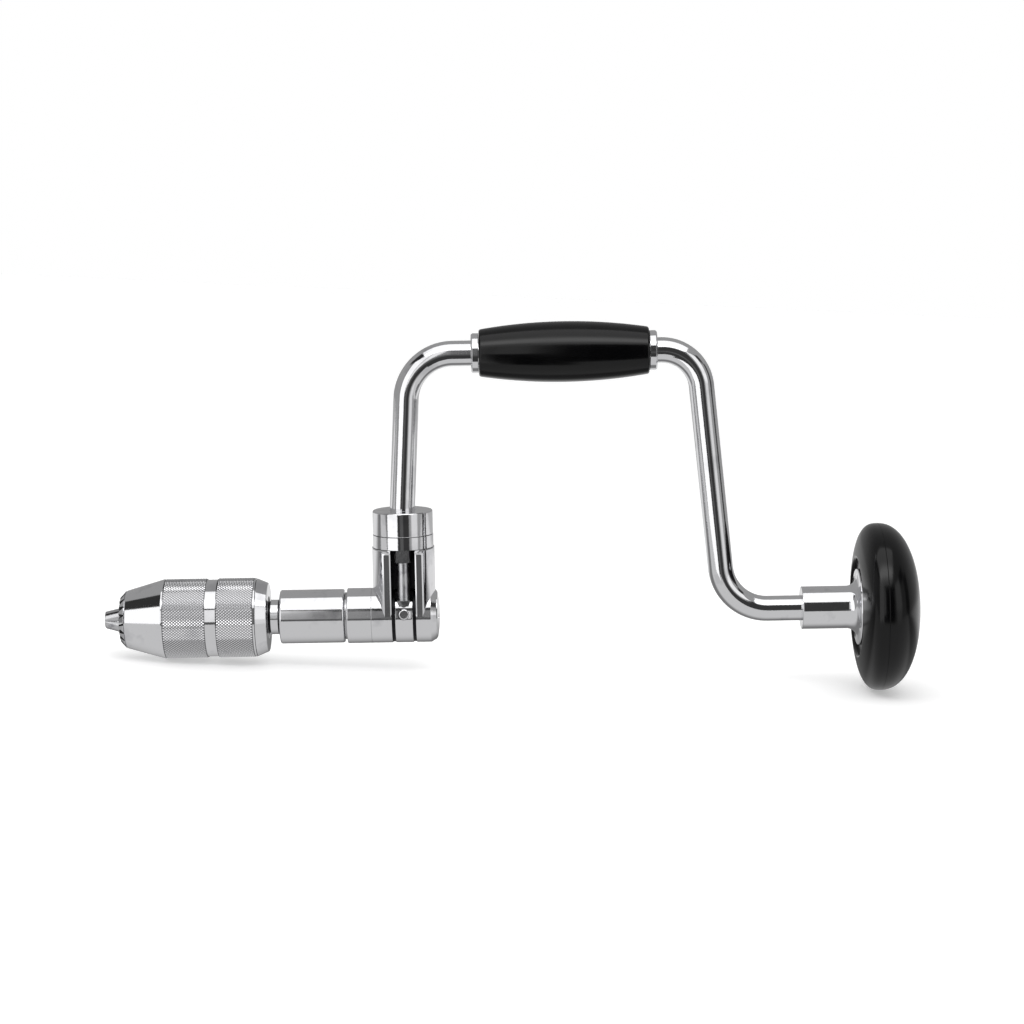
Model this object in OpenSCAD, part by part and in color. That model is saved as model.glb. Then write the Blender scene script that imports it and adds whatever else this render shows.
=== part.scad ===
// Ratchet bit brace with a three-jaw chuck, in millimetres.
// The origin is the centre of the jaw tips, on the spindle axis. The spindle runs along
// +X to the head, the crank stands up along +Z and lies in the plane Y = 0.

/* [Jaws] */
// Outer radius of the closed jaws at their tips
jaw_tip_r = 4.1; // [3.9:0.1:4.4]
// Slope of the jaws to the spindle axis, in degrees
jaw_angle = 16; // [15:0.5:17]
// Radius of the round bar that each jaw is cut from
jaw_bar_r = 3.4; // [3.1:0.1:3.5]
// Length of the jaws along the spindle
jaw_len = 24.5; // [23.5:0.5:25.5]
// Radius of the round seat between the closed jaws
bit_r = 1.5; // [1.2:0.1:1.8]
// Largest shank diameter that the open jaws take
capacity = 9.5; // [8:0.5:10]

/* [Chuck] */
// How far the jaws stand out of the toothed ring
nose_reach = 7.6; // [6.5:0.1:8.5]
// Length of the toothed ring outside the shell
tooth_ring_len = 2.6; // [2.2:0.1:3.2]
// Outer radius of the toothed ring
tooth_ring_r = 13.6; // [13.2:0.1:13.8]
// Bore radius of the toothed ring
tooth_ring_bore_r = 9.6; // [9.3:0.1:10]
// Number of key teeth
key_teeth = 20; // [16:1:24]
// Depth of the gaps between the key teeth
key_gap_depth = 1.4; // [1:0.1:1.8]
// Width of the gaps between the key teeth
key_gap_w = 2.3; // [1.6:0.1:2.4]
// Radius of the shell at its front edge
shell_front_r = 13.9; // [13.7:0.1:14.5]
// Largest radius of the shell
shell_r = 19; // [18.8:0.1:20]
// Length of the polished cone of the shell
cone_len = 18.1; // [17.5:0.1:20]
// Length of the front knurled band
band_front_len = 21.1; // [18:0.1:24]
// Length of the smooth groove between the bands
groove_len = 4.8; // [4:0.1:6]
// Depth of the smooth groove
groove_depth = 0.55; // [0.3:0.05:0.8]
// Length of the rear knurled band
band_rear_len = 18.6; // [16:0.1:22]
// Length of the polished tail of the chuck
tail_len = 5.5; // [4.5:0.1:7]
// Radius of the tail at its rear face
tail_r = 16.7; // [15.5:0.1:17.2]
// Wall of the shell at the knurled bands
shell_wall = 2.2; // [1.8:0.1:2.3]
// Outer radius of the split nut
nut_r = 14.2; // [13.8:0.1:14.3]
// Length of the split nut
nut_len = 5.6; // [5:0.1:5.8]
// Distance from the toothed ring's front to the split nut
nut_reach = 10.8; // [10.4:0.1:11]
// Thickness of the washer behind the nut
nut_washer_t = 2; // [1.6:0.1:2.2]
// Radius of the chuck body inside the split nut
nut_core_r = 8.2; // [7.8:0.1:8.6]

/* [Spindle] */
// Length of the neck behind the chuck
neck_len = 5.6; // [4.5:0.1:7]
// Radius of the neck
neck_r = 8.3; // [7.5:0.1:9]
// Length of the barrel
barrel_len = 30.9; // [26:0.1:36]
// Radius of the barrel
barrel_r = 12.85; // [12:0.05:13.2]
// Rounding of the barrel's edges
barrel_round = 1; // [0.5:0.1:1.5]
// Radius of the spindle where it is screwed into the chuck body
nose_r = 6; // [5.5:0.1:6.5]
// Length of the spindle inside the chuck body
nose_len = 19; // [15:0.5:20]
// Radius of the front journal
journal_front_r = 7; // [6.6:0.1:7.4]
// Radius of the seat of the ratchet wheel
wheel_seat_r = 5.6; // [5.5:0.1:5.8]
// Radius of the rear journal
journal_rear_r = 5.2; // [5:0.1:5.3]
// Radius of the threaded rear end
spindle_end_r = 4.2; // [3.8:0.1:4.6]
// Thickness of the thrust washer behind the barrel
thrust_washer_t = 1.15; // [0.9:0.05:1.5]
// Radius of the thrust washer
thrust_washer_r = 11.2; // [10.5:0.1:12]

/* [Ratchet housing] */
// Radius of the round bosses about the spindle
boss_r = 13.2; // [12.9:0.1:13.6]
// Length of the front ring
front_ring_len = 11.7; // [10:0.1:14]
// Thickness of the front leg of the yoke
leg_front_t = 9.8; // [9:0.1:11]
// Width of the slot between the legs
slot_w = 11.6; // [11.2:0.1:12]
// Thickness of the rear leg of the yoke
leg_rear_t = 9.6; // [9.2:0.1:11]
// Radius of the upright column of the yoke
column_r = 14.9; // [14.5:0.1:15.4]
// Height of the column's top above the spindle axis
column_top = 33.1; // [32:0.1:34]
// Distance from the crank plane to the flats on the column
flat_y = 11.7; // [11.3:0.1:12.1]
// Height of the upper end of the flats
flat_top = 31.8; // [31:0.1:32.5]
// Thickness of the web between the pawls
web_t = 10.4; // [10:0.1:10.6]
// Radius of the yoke's neck inside the selector ring
yoke_neck_r = 5; // [4.7:0.1:5.1]
// Radius of the yoke's tenon inside the crank
tenon_r = 3.75; // [3.5:0.05:4]
// Length of the chamfer at the rear end of the yoke
boss_chamfer_len = 2.7; // [2:0.1:3]
// Depth of the chamfer at the rear end of the yoke
boss_chamfer_depth = 1.6; // [1:0.1:1.8]
// Width of the ring that guides the pawls
pawl_ring_w = 8.8; // [8.4:0.1:9.2]

/* [Ratchet] */
// Tip radius of the ratchet wheel
wheel_r = 9.35; // [9.2:0.05:9.4]
// Root radius of the ratchet wheel
wheel_root_r = 7.5; // [7.3:0.1:7.8]
// Thickness of the ratchet wheel
wheel_t = 8.2; // [7.5:0.1:8.2]
// Width of a wheel tooth at its tip
wheel_tip_w = 1.1; // [0.9:0.1:1.3]
// Width of a wheel tooth at its root
wheel_root_w = 2; // [1.8:0.1:2.2]
// Side of the square key between spindle and wheel
key_side = 2.4; // [2:0.1:2.6]
// Distance from the crank plane to the axis of a pawl
pawl_y = 8.7; // [8.7:0.05:8.8]
// Radius of the pawl stems
pawl_r = 3.1; // [3:0.05:3.1]
// Radius of the pawl heads
pawl_head_r = 4.4; // [4:0.1:4.4]
// Length of the pawl heads
pawl_head_len = 6; // [5:0.1:7]
// Height at which the nose of a lowered pawl begins
nose_top = 9.3; // [8.8:0.1:9.8]
// Height of the tip of a lowered pawl above the spindle axis
nose_low = 3.2; // [3.2:0.05:3.4]
// Lift of a pawl out of the wheel
pawl_lift = 2.6; // [2.5:0.05:2.7]
// Radius of the flange on a pawl that rides on the selector's cam
follower_r = 2.7; // [2.5:0.1:2.8]
// Wire diameter of the pawl springs
spring_wire = 0.6; // [0.5:0.05:0.65]
// Mean radius of the pawl springs
spring_r = 1.95; // [1.9:0.05:2]
// Curls in a pawl spring
spring_curls = 6; // [5:1:6]

/* [Selector and socket cap] */
// Radius of the selector ring
selector_r = 14.45; // [14.3:0.05:14.8]
// Height of the selector ring with the gaps above and below it
selector_h = 6.3; // [6.1:0.1:6.6]
// Radius of the socket cap
cap_r = 14.3; // [14:0.1:14.8]
// Height of the socket cap
cap_h = 11.4; // [11:0.1:12.5]
// Radius of the cross pin
cross_pin_r = 1.5; // [1.2:0.1:1.8]

/* [Crank] */
// Radius of the crank bar
bar_r = 6; // [5.7:0.1:6.2]
// Radius of the circle that the grip is swept on
sweep = 125; // [115:1:140]
// How far the left arm leans towards the head at its top
left_lean = 4.1; // [2:0.1:8]
// How far the right arm leans towards the head at its foot
right_lean = 12.1; // [8:0.1:16]
// Bend radius at the upper left corner
bend_left_r = 22.4; // [18:0.1:24]
// Bend radius at the upper right corner
bend_right_r = 19; // [16:0.1:24]
// Bend radius at the foot of the right arm
bend_foot_r = 22.4; // [18:0.1:26]
// Distance from the foot of the right arm to the head's sleeve
foot_to_hub = 36.6; // [32:0.1:45]

/* [Grip] */
// Length of the grip
grip_len = 80.5; // [74:0.5:82]
// Radius of the grip at its middle
grip_mid_r = 14.35; // [13.5:0.05:15.5]
// Radius of the grip at its ends
grip_end_r = 11.1; // [10.4:0.1:11.8]
// Rounding of the grip's ends
grip_round = 1.2; // [0.8:0.1:1.6]
// Distance from the upper left corner to the left ferrule
ferrule_start = 30; // [28:0.1:32]
// Distance from the right ferrule to the upper right corner
ferrule_end = 19.3; // [19:0.1:24]
// Length of a ferrule
ferrule_len = 3.5; // [3:0.1:4.5]
// Radius of a ferrule
ferrule_r = 9.35; // [8.8:0.05:9.8]
// Length of the bushes in the grip
grip_bush_len = 9; // [7:0.5:12]
// Outer radius of the bushes in the grip
grip_bush_r = 8; // [7.6:0.1:8.4]

/* [Head] */
// Length of the metal sleeve with its flange
hub_len = 28.3; // [26:0.1:32]
// Radius of the sleeve
hub_r = 10.2; // [10:0.1:11]
// Radius of the flange
flange_r = 18.3; // [17.5:0.1:19.5]
// Thickness of the flange at its rim
flange_rim_t = 1.5; // [1.2:0.1:2]
// Radius of the flare between sleeve and flange
flare_r = 5.2; // [4:0.1:6]
// Radius of the head
head_r = 40; // [38:0.1:42]
// Depth of the head behind its seam, towards the crank
head_inner_depth = 11.5; // [11:0.1:12.5]
// Depth of the head in front of its seam
head_outer_depth = 18.9; // [17:0.1:21]
// Distance from the flange's seat to the head's seam
seam_reach = 8.7; // [8.2:0.1:9.5]
// Radius of the recess that the flange sits in
recess_r = 23; // [22:0.1:24]
// Wall of the outer half of the head
head_wall = 4; // [3:0.1:5]
// Radius of the crank's journal inside the head
head_journal_r = 4.5; // [4:0.1:4.8]
// Radius of the balls that carry the head
ball_r = 1.6; // [1.5:0.05:1.65]
// Radius of the circle that the balls run on
ball_circle_r = 6.5; // [6.4:0.1:6.6]
// Number of balls
balls = 8; // [6:1:9]
// Radius of the circle that the head's screws stand on
screw_circle_r = 14.6; // [14.2:0.1:15.2]
// Radius of the screws' shanks
screw_r = 1.5; // [1.25:0.05:1.6]
// Length of the head's screws
screw_len = 15; // [13:0.5:16]

/* [Hidden] */
$fn = 72;

// Fits
seat_clear = 0.02;   // radial, between pieces fixed to each other
run_clear = 0.06;    // radial, shaft in its bush
slide_clear = 0.08;  // radial, jaw in its guide and sleeve on the crank
free_gap = 0.3;      // between curved faces that move past each other
face_gap = 0.2;      // between flat faces that move past each other
cut = 1;             // how far a cutter runs past the piece

// Jaws
jaw_axis_r = jaw_tip_r - jaw_bar_r / cos(jaw_angle);
jaw_travel = (capacity / 2 - bit_r) / tan(jaw_angle);
jaw_gap = free_gap / 2;
jaw_tip_chamfer = 0.35;
shank_room = 0.3;
shank_bore_r = capacity / 2 + shank_room;
function jaw_outer_r(x) = jaw_tip_r + x * tan(jaw_angle);

// Chuck, along the spindle
body_recess = 0.6;
x_seam = nose_reach + tooth_ring_len;
x_band = x_seam + cone_len;
x_groove = x_band + band_front_len;
x_band_rear = x_groove + groove_len;
x_tail = x_band_rear + band_rear_len;
x_tail_end = x_tail + tail_len;
x_nut = nose_reach + nut_reach;
x_nut_washer = x_nut + nut_len + 0.1;
x_flange = x_nut_washer + nut_washer_t + face_gap;
x_jaw_end = jaw_len + jaw_travel;
body_rest = 8.8;
x_body_end = x_tail - body_rest;
tooth_spigot_len = 3.8;
tooth_spigot_r = tooth_ring_r - 1;
collar_spigot_len = 6.8;
shell_bore_r = shell_r - shell_wall;
body_r = shell_bore_r - free_gap;

// Spindle, along the spindle
x_barrel = x_tail_end + neck_len;
x_washer = x_barrel + barrel_len + 0.15;
x_front_ring = x_washer + thrust_washer_t;
x_yoke = x_front_ring + front_ring_len;
x_slot = x_yoke + leg_front_t;
x_column = x_slot + slot_w / 2;
x_leg_rear = x_slot + slot_w;
x_yoke_end = x_leg_rear + leg_rear_t;

// Ratchet housing
spigot_r = boss_r - 2.6;
spigot_rest = 2.3;
bush_wall = 2;
cap_seat_depth = 2.8;
end_cap_r = boss_r - boss_chamfer_depth - 0.6;
end_cap_rise = 1.4;
end_cap_flat = 0.4;
ring_bore_r = wheel_r + free_gap;
slot_floor = boss_r + 0.4;
pawl_bore_r = pawl_r + 0.2;
pawl_bore_low = nose_low - 0.6;
tongue_w = 4;
tongue_depth = 2.6;
oil_hole_r = 2.4;
oil_hole_z = 2.5;
oil_hole_chamfer = 0.7;
facet_angle = 22;
facet_depth = 0.3;
flat_corner_r = 2.5;
flat_half_w = 9.4;

// Ratchet
ratchet_teeth = 12;
nose_flat_y = 1;
nose_tip_half_w = 1.5;
nose_top_half_w = 3.4;
flare = 0.15;
clip_t = 0.8;
clip_groove = 0.7;
seat_end = pawl_ring_w / 2 + 0.7;

// Selector ring and pawl stems, heights above the spindle axis
z_selector = column_top + face_gap;
z_cap = column_top + selector_h;
z_cap_top = z_cap + cap_h;
head_top = column_top - 0.1;
selector_wall = 1.05;
plate_low = head_top + pawl_lift + 0.5;
plate_t = 1;
cam_low = plate_low + plate_t;
cam_lead = 15;
cam_in_r = 6.3;
cam_out_r = 11.8;
follower_low = cam_low + 0.3;
follower_t = 1;
upper_stem_r = 1.5;
spring_stem_r = 1.3;
slot_clear = 0.3;
cap_recess_r = 12.2;
z_cap_recess = z_cap + 4;
cap_bevel = 0.6;
cap_roof = 2;
z_spring_end = z_cap_top - cap_roof;
spring_stem_top = z_spring_end - pawl_lift - 0.4;
spring_pocket_r = spring_r + spring_wire / 2 + free_gap;

// Crank
foot_end_r = 5.5;
foot_shoulder = 1;
bend_run = 0.3;
bend_swell = 0.03;
z_crank = z_cap + 0.3;
z_cross_pin = z_cap + 6.9;
tenon_rest = 0.5;
kink_rise = 1.5;
kink_r = 30;
x_left = x_column + left_lean;
x_ferrule = x_left + ferrule_start;
x_grip = x_ferrule + ferrule_len + face_gap;
x_grip_end = x_grip + grip_len;
x_right = x_grip_end + face_gap + ferrule_len + ferrule_end;
x_foot = x_right + right_lean;
x_hub = x_foot + foot_to_hub;
crank_path = [[x_column, z_cap_top - foot_shoulder], [x_column, z_cap_top + kink_rise],
    [x_left, sweep], [x_right, sweep], [x_foot, 0], [x_hub + 18.9, 0]];
crank_bends = [kink_r, bend_left_r, bend_right_r, bend_foot_r];

// Grip
ferrule_chamfer = 0.7;
grip_room = 1.2;

// Head
x_hub_step = x_hub + 18.7;
nut_pocket_r = 9;
head_nut_t = 4.5;
head_nut_r = 8;
x_head_nut = x_hub_step + face_gap;
x_race = x_head_nut + head_nut_t + 0.1;
race_t = 1.5;
race_r = 8.4;
x_balls = x_race + race_t + 0.05 + ball_r;
cage_t = 1.3;
x_plate = x_balls + ball_r + 0.05;
plate_r = 8.8;
thrust_plate_t = 1.5;
x_journal_end = x_plate - 0.8;
x_seat = x_hub + hub_len;
x_head_seam = x_seat + seam_reach;
inner_floor_t = 5;
rim_w = 5;
lip_r = 1.5;
outer_power = 2.25;
inner_power = 2.9;
boss_post_r = 4.2;
screw_head_r = 2.6;
screw_head_len = 1.6;
screw_sink = 0.3;

// Shapes that repeat

// Solid of revolution about the spindle axis, from points [radius, x]
module turned(points) {
    rotate([0, 90, 0]) rotate_extrude() polygon(points);
}

module rod_x(x0, x1, r) {
    translate([x0, 0, 0]) rotate([0, 90, 0]) cylinder(r = r, h = x1 - x0);
}

module tube_x(x0, x1, r_out, r_in) {
    difference() {
        rod_x(x0, x1, r_out);
        rod_x(x0 - cut, x1 + cut, r_in);
    }
}

// Cylinder along Z at the yoke's column, from z0 to z1
module post(z0, z1, r) {
    translate([x_column, 0, z0]) cylinder(r = r, h = z1 - z0);
}

// Points of an arc in a profile
function arc(cx, cy, r, a0, a1, n = 6) =
    [for (i = [0:n]) let (a = a0 + (a1 - a0) * i / n) [cx + r * cos(a), cy + r * sin(a)]];

// Quarter of a rounded dome: radius falls from r to 0 as x moves by depth
function dome(x0, r, depth, power, a0, a1, n = 18) =
    [for (i = [0:n]) let (a = a0 + (a1 - a0) * i / n)
        [r * pow(cos(a), 2 / power), x0 + depth * pow(sin(a), 2 / power)]];

function unit(v) = v / norm(v);
function left_of(v) = [-v.y, v.x];

// Round bar along a path in the crank plane, with a bend at each inner point. The straights
// run a little way into the bends, which are thicker by bend_swell
module bent_bar(path, bends, r) {
    last = len(path) - 1;
    dirs = [for (i = [0:last - 1]) unit(path[i + 1] - path[i])];
    turns = [for (i = [1:last - 1]) acos(dirs[i - 1] * dirs[i])];
    tangents = [for (i = [1:last - 1]) bends[i - 1] * tan(turns[i - 1] / 2)];
    starts = [for (i = [0:last - 1]) path[i] + dirs[i] * (i == 0 ? 0 : tangents[i - 1])];
    ends = [for (i = [0:last - 1])
        path[i + 1] - dirs[i] * (i == last - 1 ? 0 : tangents[i])];
    rotate([90, 0, 0]) {
        for (i = [0:last - 1]) {
            from = starts[i] - dirs[i] * (i == 0 ? 0 : bend_run);
            to = ends[i] + dirs[i] * (i == last - 1 ? 0 : bend_run);
            translate(from) rotate([0, 0, atan2(dirs[i].y, dirs[i].x)])
                rotate([0, 90, 0]) cylinder(r = r, h = norm(to - from));
        }
        for (i = [0:last - 2]) {
            side = cross(dirs[i], dirs[i + 1]) > 0 ? 1 : -1;
            out = -side * left_of(dirs[i]);
            a = atan2(out.y, out.x);
            translate(ends[i] - out * bends[i]) rotate([0, 0, side > 0 ? a : a - turns[i]])
                rotate_extrude(angle = turns[i]) translate([bends[i], 0])
                    circle(r = r + bend_swell);
        }
    }
}

// Crank, and what is fixed to it

module crank() color("silver") difference() {
    union() {
        bent_bar(crank_path, crank_bends, bar_r);
        post(z_crank, z_cap_top, foot_end_r);
        rod_x(x_hub + 18, x_journal_end, head_journal_r);
    }
    post(z_crank - cut, z_cap_top - tenon_rest + seat_clear, tenon_r + seat_clear);
    pin_hole();
}

module pin_hole() {
    translate([0, 0, z_cross_pin])
        rod_x(x_column - cap_r - cut, x_column + cap_r + cut, cross_pin_r + seat_clear);
}

module socket_cap() color("silver") difference() {
    translate([x_column, 0, 0]) rotate_extrude() polygon([[0, z_cap], [cap_r - 0.2, z_cap],
        [cap_r, z_cap + 0.2], [cap_r, z_cap_top - cap_bevel],
        [cap_r - cap_bevel, z_cap_top], [0, z_cap_top]]);
    post(z_cap - cut, z_cap_recess, cap_recess_r);
    post(z_cap - cut, z_cap_top, foot_end_r + seat_clear);
    post(z_cap_top - foot_shoulder, z_cap_top + cut, bar_r + seat_clear);
    for (side = [-1, 1]) translate([0, side * pawl_y, 0])
        post(z_cap, z_spring_end, spring_pocket_r);
    pin_hole();
}

module cross_pin() color("gray") translate([0, 0, z_cross_pin])
    rod_x(x_column - cap_r + 0.3, x_column + cap_r - 0.3, cross_pin_r);

module yoke() color("silver") {
    front_bore_r = journal_front_r + run_clear + bush_wall + seat_clear;
    rear_bore_r = journal_rear_r + run_clear + bush_wall + seat_clear;
    difference() {
        union() {
            yoke_column();
            turned([[0, x_yoke], [boss_r, x_yoke], [boss_r, x_yoke_end - boss_chamfer_len],
                [boss_r - boss_chamfer_depth, x_yoke_end], [0, x_yoke_end]]);
            rod_x(x_front_ring + spigot_rest, x_yoke + cut, spigot_r);
        }
        yoke_slot();
        rod_x(x_front_ring, x_slot + cut, front_bore_r);
        rod_x(x_leg_rear - cut, x_yoke_end, rear_bore_r);
        rod_x(x_yoke_end - cap_seat_depth, x_yoke_end + cut, end_cap_r + free_gap);
    }
    translate([x_column - pawl_ring_w / 2, -tongue_w / 2, slot_floor - tongue_depth])
        cube([pawl_ring_w, tongue_w, tongue_depth]);
    post(column_top, z_crank - 0.1, yoke_neck_r);
    difference() {
        post(column_top, z_cap_top - tenon_rest - seat_clear, tenon_r);
        pin_hole();
    }
}

// Upright column with a flat on each side and a narrow facet at each edge of a flat
module yoke_column() difference() {
    post(0, column_top, column_r);
    for (side = [0, 1]) translate([x_column, 0, 0]) mirror([0, side, 0]) {
        translate([0, -flat_y, 0]) rotate([90, 0, 0]) linear_extrude(column_r) flat_outline();
        for (edge = [-1, 1]) rotate([0, 0, edge * facet_angle])
            translate([-column_r, -column_r - facet_y(), -cut])
                cube([2 * column_r, column_r, flat_top + cut]);
    }
}

// Distance from the column's axis to the facets beside the flats
function facet_y() = flat_y * cos(facet_angle)
    + sqrt(pow(column_r, 2) - pow(flat_y, 2)) * sin(facet_angle) - facet_depth;

module flat_outline() {
    w = flat_half_w;
    r = flat_corner_r;
    polygon(concat([[-w, -cut]], arc(-w + r, flat_top - r, r, 180, 90),
        arc(w - r, flat_top - r, r, 90, 0), [[w, -cut]]));
}

module yoke_slot() {
    translate([x_slot, -2 * boss_r, -2 * boss_r])
        cube([slot_w, 4 * boss_r, 2 * boss_r + slot_floor]);
    for (side = [0, 1]) mirror([0, side, 0])
        translate([x_slot, web_t / 2, 0]) cube([slot_w, column_r, column_top + cut]);
}

module front_ring() color("silver") difference() {
    rod_x(x_front_ring, x_yoke - 0.05, boss_r);
    rod_x(x_front_ring + spigot_rest - 0.1, x_yoke, spigot_r + seat_clear);
    rod_x(x_front_ring - cut, x_yoke, journal_front_r + free_gap);
}

module thrust_washer() color("gray")
    tube_x(x_washer, x_front_ring, thrust_washer_r, journal_front_r + free_gap);

module front_bush() color("peru")
    tube_x(x_front_ring + spigot_rest, x_slot - 0.2, journal_front_r + run_clear + bush_wall,
        journal_front_r + run_clear);

module rear_bush() color("peru")
    tube_x(x_leg_rear + 0.2, x_yoke_end - cap_seat_depth - 0.2,
        journal_rear_r + run_clear + bush_wall, journal_rear_r + run_clear);

module pawl_ring() color("silver") {
    half = pawl_ring_w / 2;
    edge = 0.4;
    difference() {
        turned([[0, x_column - half], [boss_r - edge, x_column - half],
            [boss_r, x_column - half + edge], [boss_r, x_column + half - edge],
            [boss_r - edge, x_column + half], [0, x_column + half]]);
        rod_x(x_column - half - cut, x_column + half + cut, ring_bore_r);
        for (side = [-1, 1]) translate([0, side * pawl_y, 0])
            post(pawl_bore_low, boss_r, pawl_bore_r);
        translate([x_column - half - cut, -tongue_w / 2 - seat_clear,
            slot_floor - tongue_depth - 0.05]) cube([pawl_ring_w + 2 * cut,
            tongue_w + 2 * seat_clear, tongue_depth]);
        oil_hole();
    }
}

// Countersunk hole in the front of the pawl ring
module oil_hole() translate([x_column, 0, oil_hole_z]) rotate([90, 0, 0]) {
    cylinder(r = oil_hole_r, h = boss_r + cut);
    translate([0, 0, boss_r - oil_hole_chamfer])
        cylinder(r1 = oil_hole_r, r2 = oil_hole_r + 2 * oil_hole_chamfer,
            h = 2 * oil_hole_chamfer);
}

module ferrule(x0, outward) difference() {
    x_out = outward < 0 ? x0 : x0 + ferrule_len;
    x_in = outward < 0 ? x0 + ferrule_len : x0;
    translate([0, 0, sweep]) turned([[0, x_in], [ferrule_r, x_in],
        [ferrule_r, x_out - outward * ferrule_chamfer], [ferrule_r - ferrule_chamfer, x_out],
        [0, x_out]]);
    translate([0, 0, sweep]) rod_x(x0 - cut, x0 + ferrule_len + cut, bar_r + seat_clear);
}

module ferrule_left() color("silver") ferrule(x_ferrule, -1);

module ferrule_right() color("silver") ferrule(x_grip_end + face_gap, 1);

module head_nut() color("gray") difference() {
    translate([x_head_nut, 0, 0]) rotate([0, 90, 0])
        cylinder(r = head_nut_r, h = head_nut_t, $fn = 6);
    rod_x(x_head_nut - cut, x_head_nut + head_nut_t + cut, head_journal_r + seat_clear);
}

module head_race() color("gray")
    tube_x(x_race, x_race + race_t, race_r, head_journal_r + seat_clear);

module at_balls() {
    for (i = [0:balls - 1]) rotate([i * 360 / balls, 0, 0])
        translate([x_balls, 0, ball_circle_r]) children();
}

module ball_cage() color("peru") difference() {
    tube_x(x_balls - cage_t / 2, x_balls + cage_t / 2, race_r, head_journal_r + 0.1);
    at_balls() rotate([0, 90, 0])
        cylinder(r = ball_r + 0.05, h = cage_t + 2 * cut, center = true);
}

module thrust_balls() color("silver") at_balls() sphere(r = ball_r);

// Coil spring as one tube: rings of points about a helix, closed by a cap at each end
module spring(z0, z1, y) {
    steps = 8 * spring_curls;
    sides = 6;
    rise = (z1 - z0 - spring_wire - 0.1) / steps;
    centre = [for (i = [0:steps]) [spring_r * cos(45 * i), spring_r * sin(45 * i),
        z0 + 0.05 + spring_wire / 2 + rise * i]];
    rings = [for (i = [0:steps], k = [0:sides - 1]) let (a = 360 * k / sides)
        centre[i] + spring_wire / 2 * [cos(a) * cos(45 * i), cos(a) * sin(45 * i), sin(a)]];
    walls = [for (i = [0:steps - 1], k = [0:sides - 1], half = [0, 1])
        let (a = i * sides + k, b = i * sides + (k + 1) % sides)
            half == 0 ? [a, b, b + sides] : [a, b + sides, a + sides]];
    first = [for (k = [1:sides - 2]) [0, k + 1, k]];
    ends = [for (k = [1:sides - 2]) [steps * sides, steps * sides + k, steps * sides + k + 1]];
    echo(least_gap = min([for (i = [0:steps - 8]) norm(centre[i + 8] - centre[i])])
        - spring_wire);
    translate([x_column, y, 0]) polyhedron(rings, concat(walls, first, ends));
}

module pawl_spring_front() color("gray")
    spring(follower_low + follower_t, z_spring_end, -pawl_y);

module pawl_spring_rear() color("gray")
    spring(follower_low + follower_t + pawl_lift, z_spring_end, pawl_y);

// Spindle, and what turns with it

module spindle() color("silver") difference() {
    x_wheel = x_column - wheel_t / 2;
    union() {
        rod_x(x_body_end - nose_len, x_body_end, nose_r);
        rod_x(x_body_end, x_barrel + cut, neck_r);
        turned(concat([[0, x_barrel]],
            arc(barrel_r - barrel_round, x_barrel + barrel_round, barrel_round, -90, 0),
            arc(barrel_r - barrel_round, x_barrel + barrel_len - barrel_round,
                barrel_round, 0, 90),
            [[0, x_barrel + barrel_len]]));
        rod_x(x_barrel, x_wheel - 0.1, journal_front_r);
        rod_x(x_barrel, x_column + seat_end, wheel_seat_r);
        rod_x(x_barrel, x_yoke_end - cap_seat_depth + 0.2, journal_rear_r);
        rod_x(x_barrel, x_yoke_end + 0.1, spindle_end_r);
    }
    keyway();
    tube_x(x_column + wheel_t / 2 + 0.1, x_column + wheel_t / 2 + clip_t + 0.15,
        wheel_seat_r + cut, wheel_seat_r - clip_groove);
}

// Key room, half in the spindle and half in the wheel, under a tooth
module keyway(room = 0.02) rotate([180 / ratchet_teeth, 0, 0])
    translate([x_column - wheel_t / 2 - 0.1, -key_side / 2 - room,
        wheel_seat_r - key_side / 2 - room])
        cube([wheel_t + 0.2, key_side + 2 * room, key_side + 2 * room]);

module drive_key() color("gray") rotate([180 / ratchet_teeth, 0, 0])
    translate([x_column - wheel_t / 2, -key_side / 2, wheel_seat_r - key_side / 2])
        cube([wheel_t, key_side, key_side]);

module ratchet_wheel() color("gray") difference() {
    union() {
        rod_x(x_column - wheel_t / 2, x_column + wheel_t / 2, wheel_root_r);
        intersection() {
            rod_x(x_column - wheel_t / 2, x_column + wheel_t / 2, wheel_r);
            for (i = [0:ratchet_teeth - 1]) rotate([(i + 0.5) * 360 / ratchet_teeth, 0, 0])
                translate([x_column - wheel_t / 2, 0, 0]) rotate([90, 0, 90])
                    linear_extrude(wheel_t) polygon([[-wheel_root_w / 2, wheel_root_r - 0.5],
                        [wheel_root_w / 2, wheel_root_r - 0.5],
                        [wheel_tip_w / 2, wheel_r + 0.5], [-wheel_tip_w / 2, wheel_r + 0.5]]);
        }
    }
    rod_x(x_column - wheel_t, x_column + wheel_t, wheel_seat_r + seat_clear);
    keyway();
}

module wheel_clip() color("gray") difference() {
    x_clip = x_column + wheel_t / 2 + 0.12;
    tube_x(x_clip, x_clip + clip_t, wheel_root_r - 0.5, wheel_seat_r - clip_groove + 0.05);
    translate([x_clip - cut, -1.5, -2 * wheel_seat_r])
        cube([clip_t + 2 * cut, 3, 2 * wheel_seat_r]);
}

module end_cap() color("silver") {
    x_low = x_yoke_end - cap_seat_depth + 0.3;
    rise = end_cap_rise - end_cap_flat;
    ball = (pow(end_cap_r, 2) + pow(rise, 2)) / (2 * rise);
    half = asin(end_cap_r / ball);
    difference() {
        turned(concat([[0, x_low], [end_cap_r, x_low]],
            arc(0, x_yoke_end + end_cap_rise - ball, ball, 90 - half, 90, 10)));
        rod_x(x_low - cut, x_yoke_end + 0.12, spindle_end_r + seat_clear);
        for (side = [-1, 1]) translate([0, side * end_cap_r * 0.6, 0])
            rod_x(x_yoke_end - 0.6, x_yoke_end + 2 * cut, 1.1);
    }
}

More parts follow.
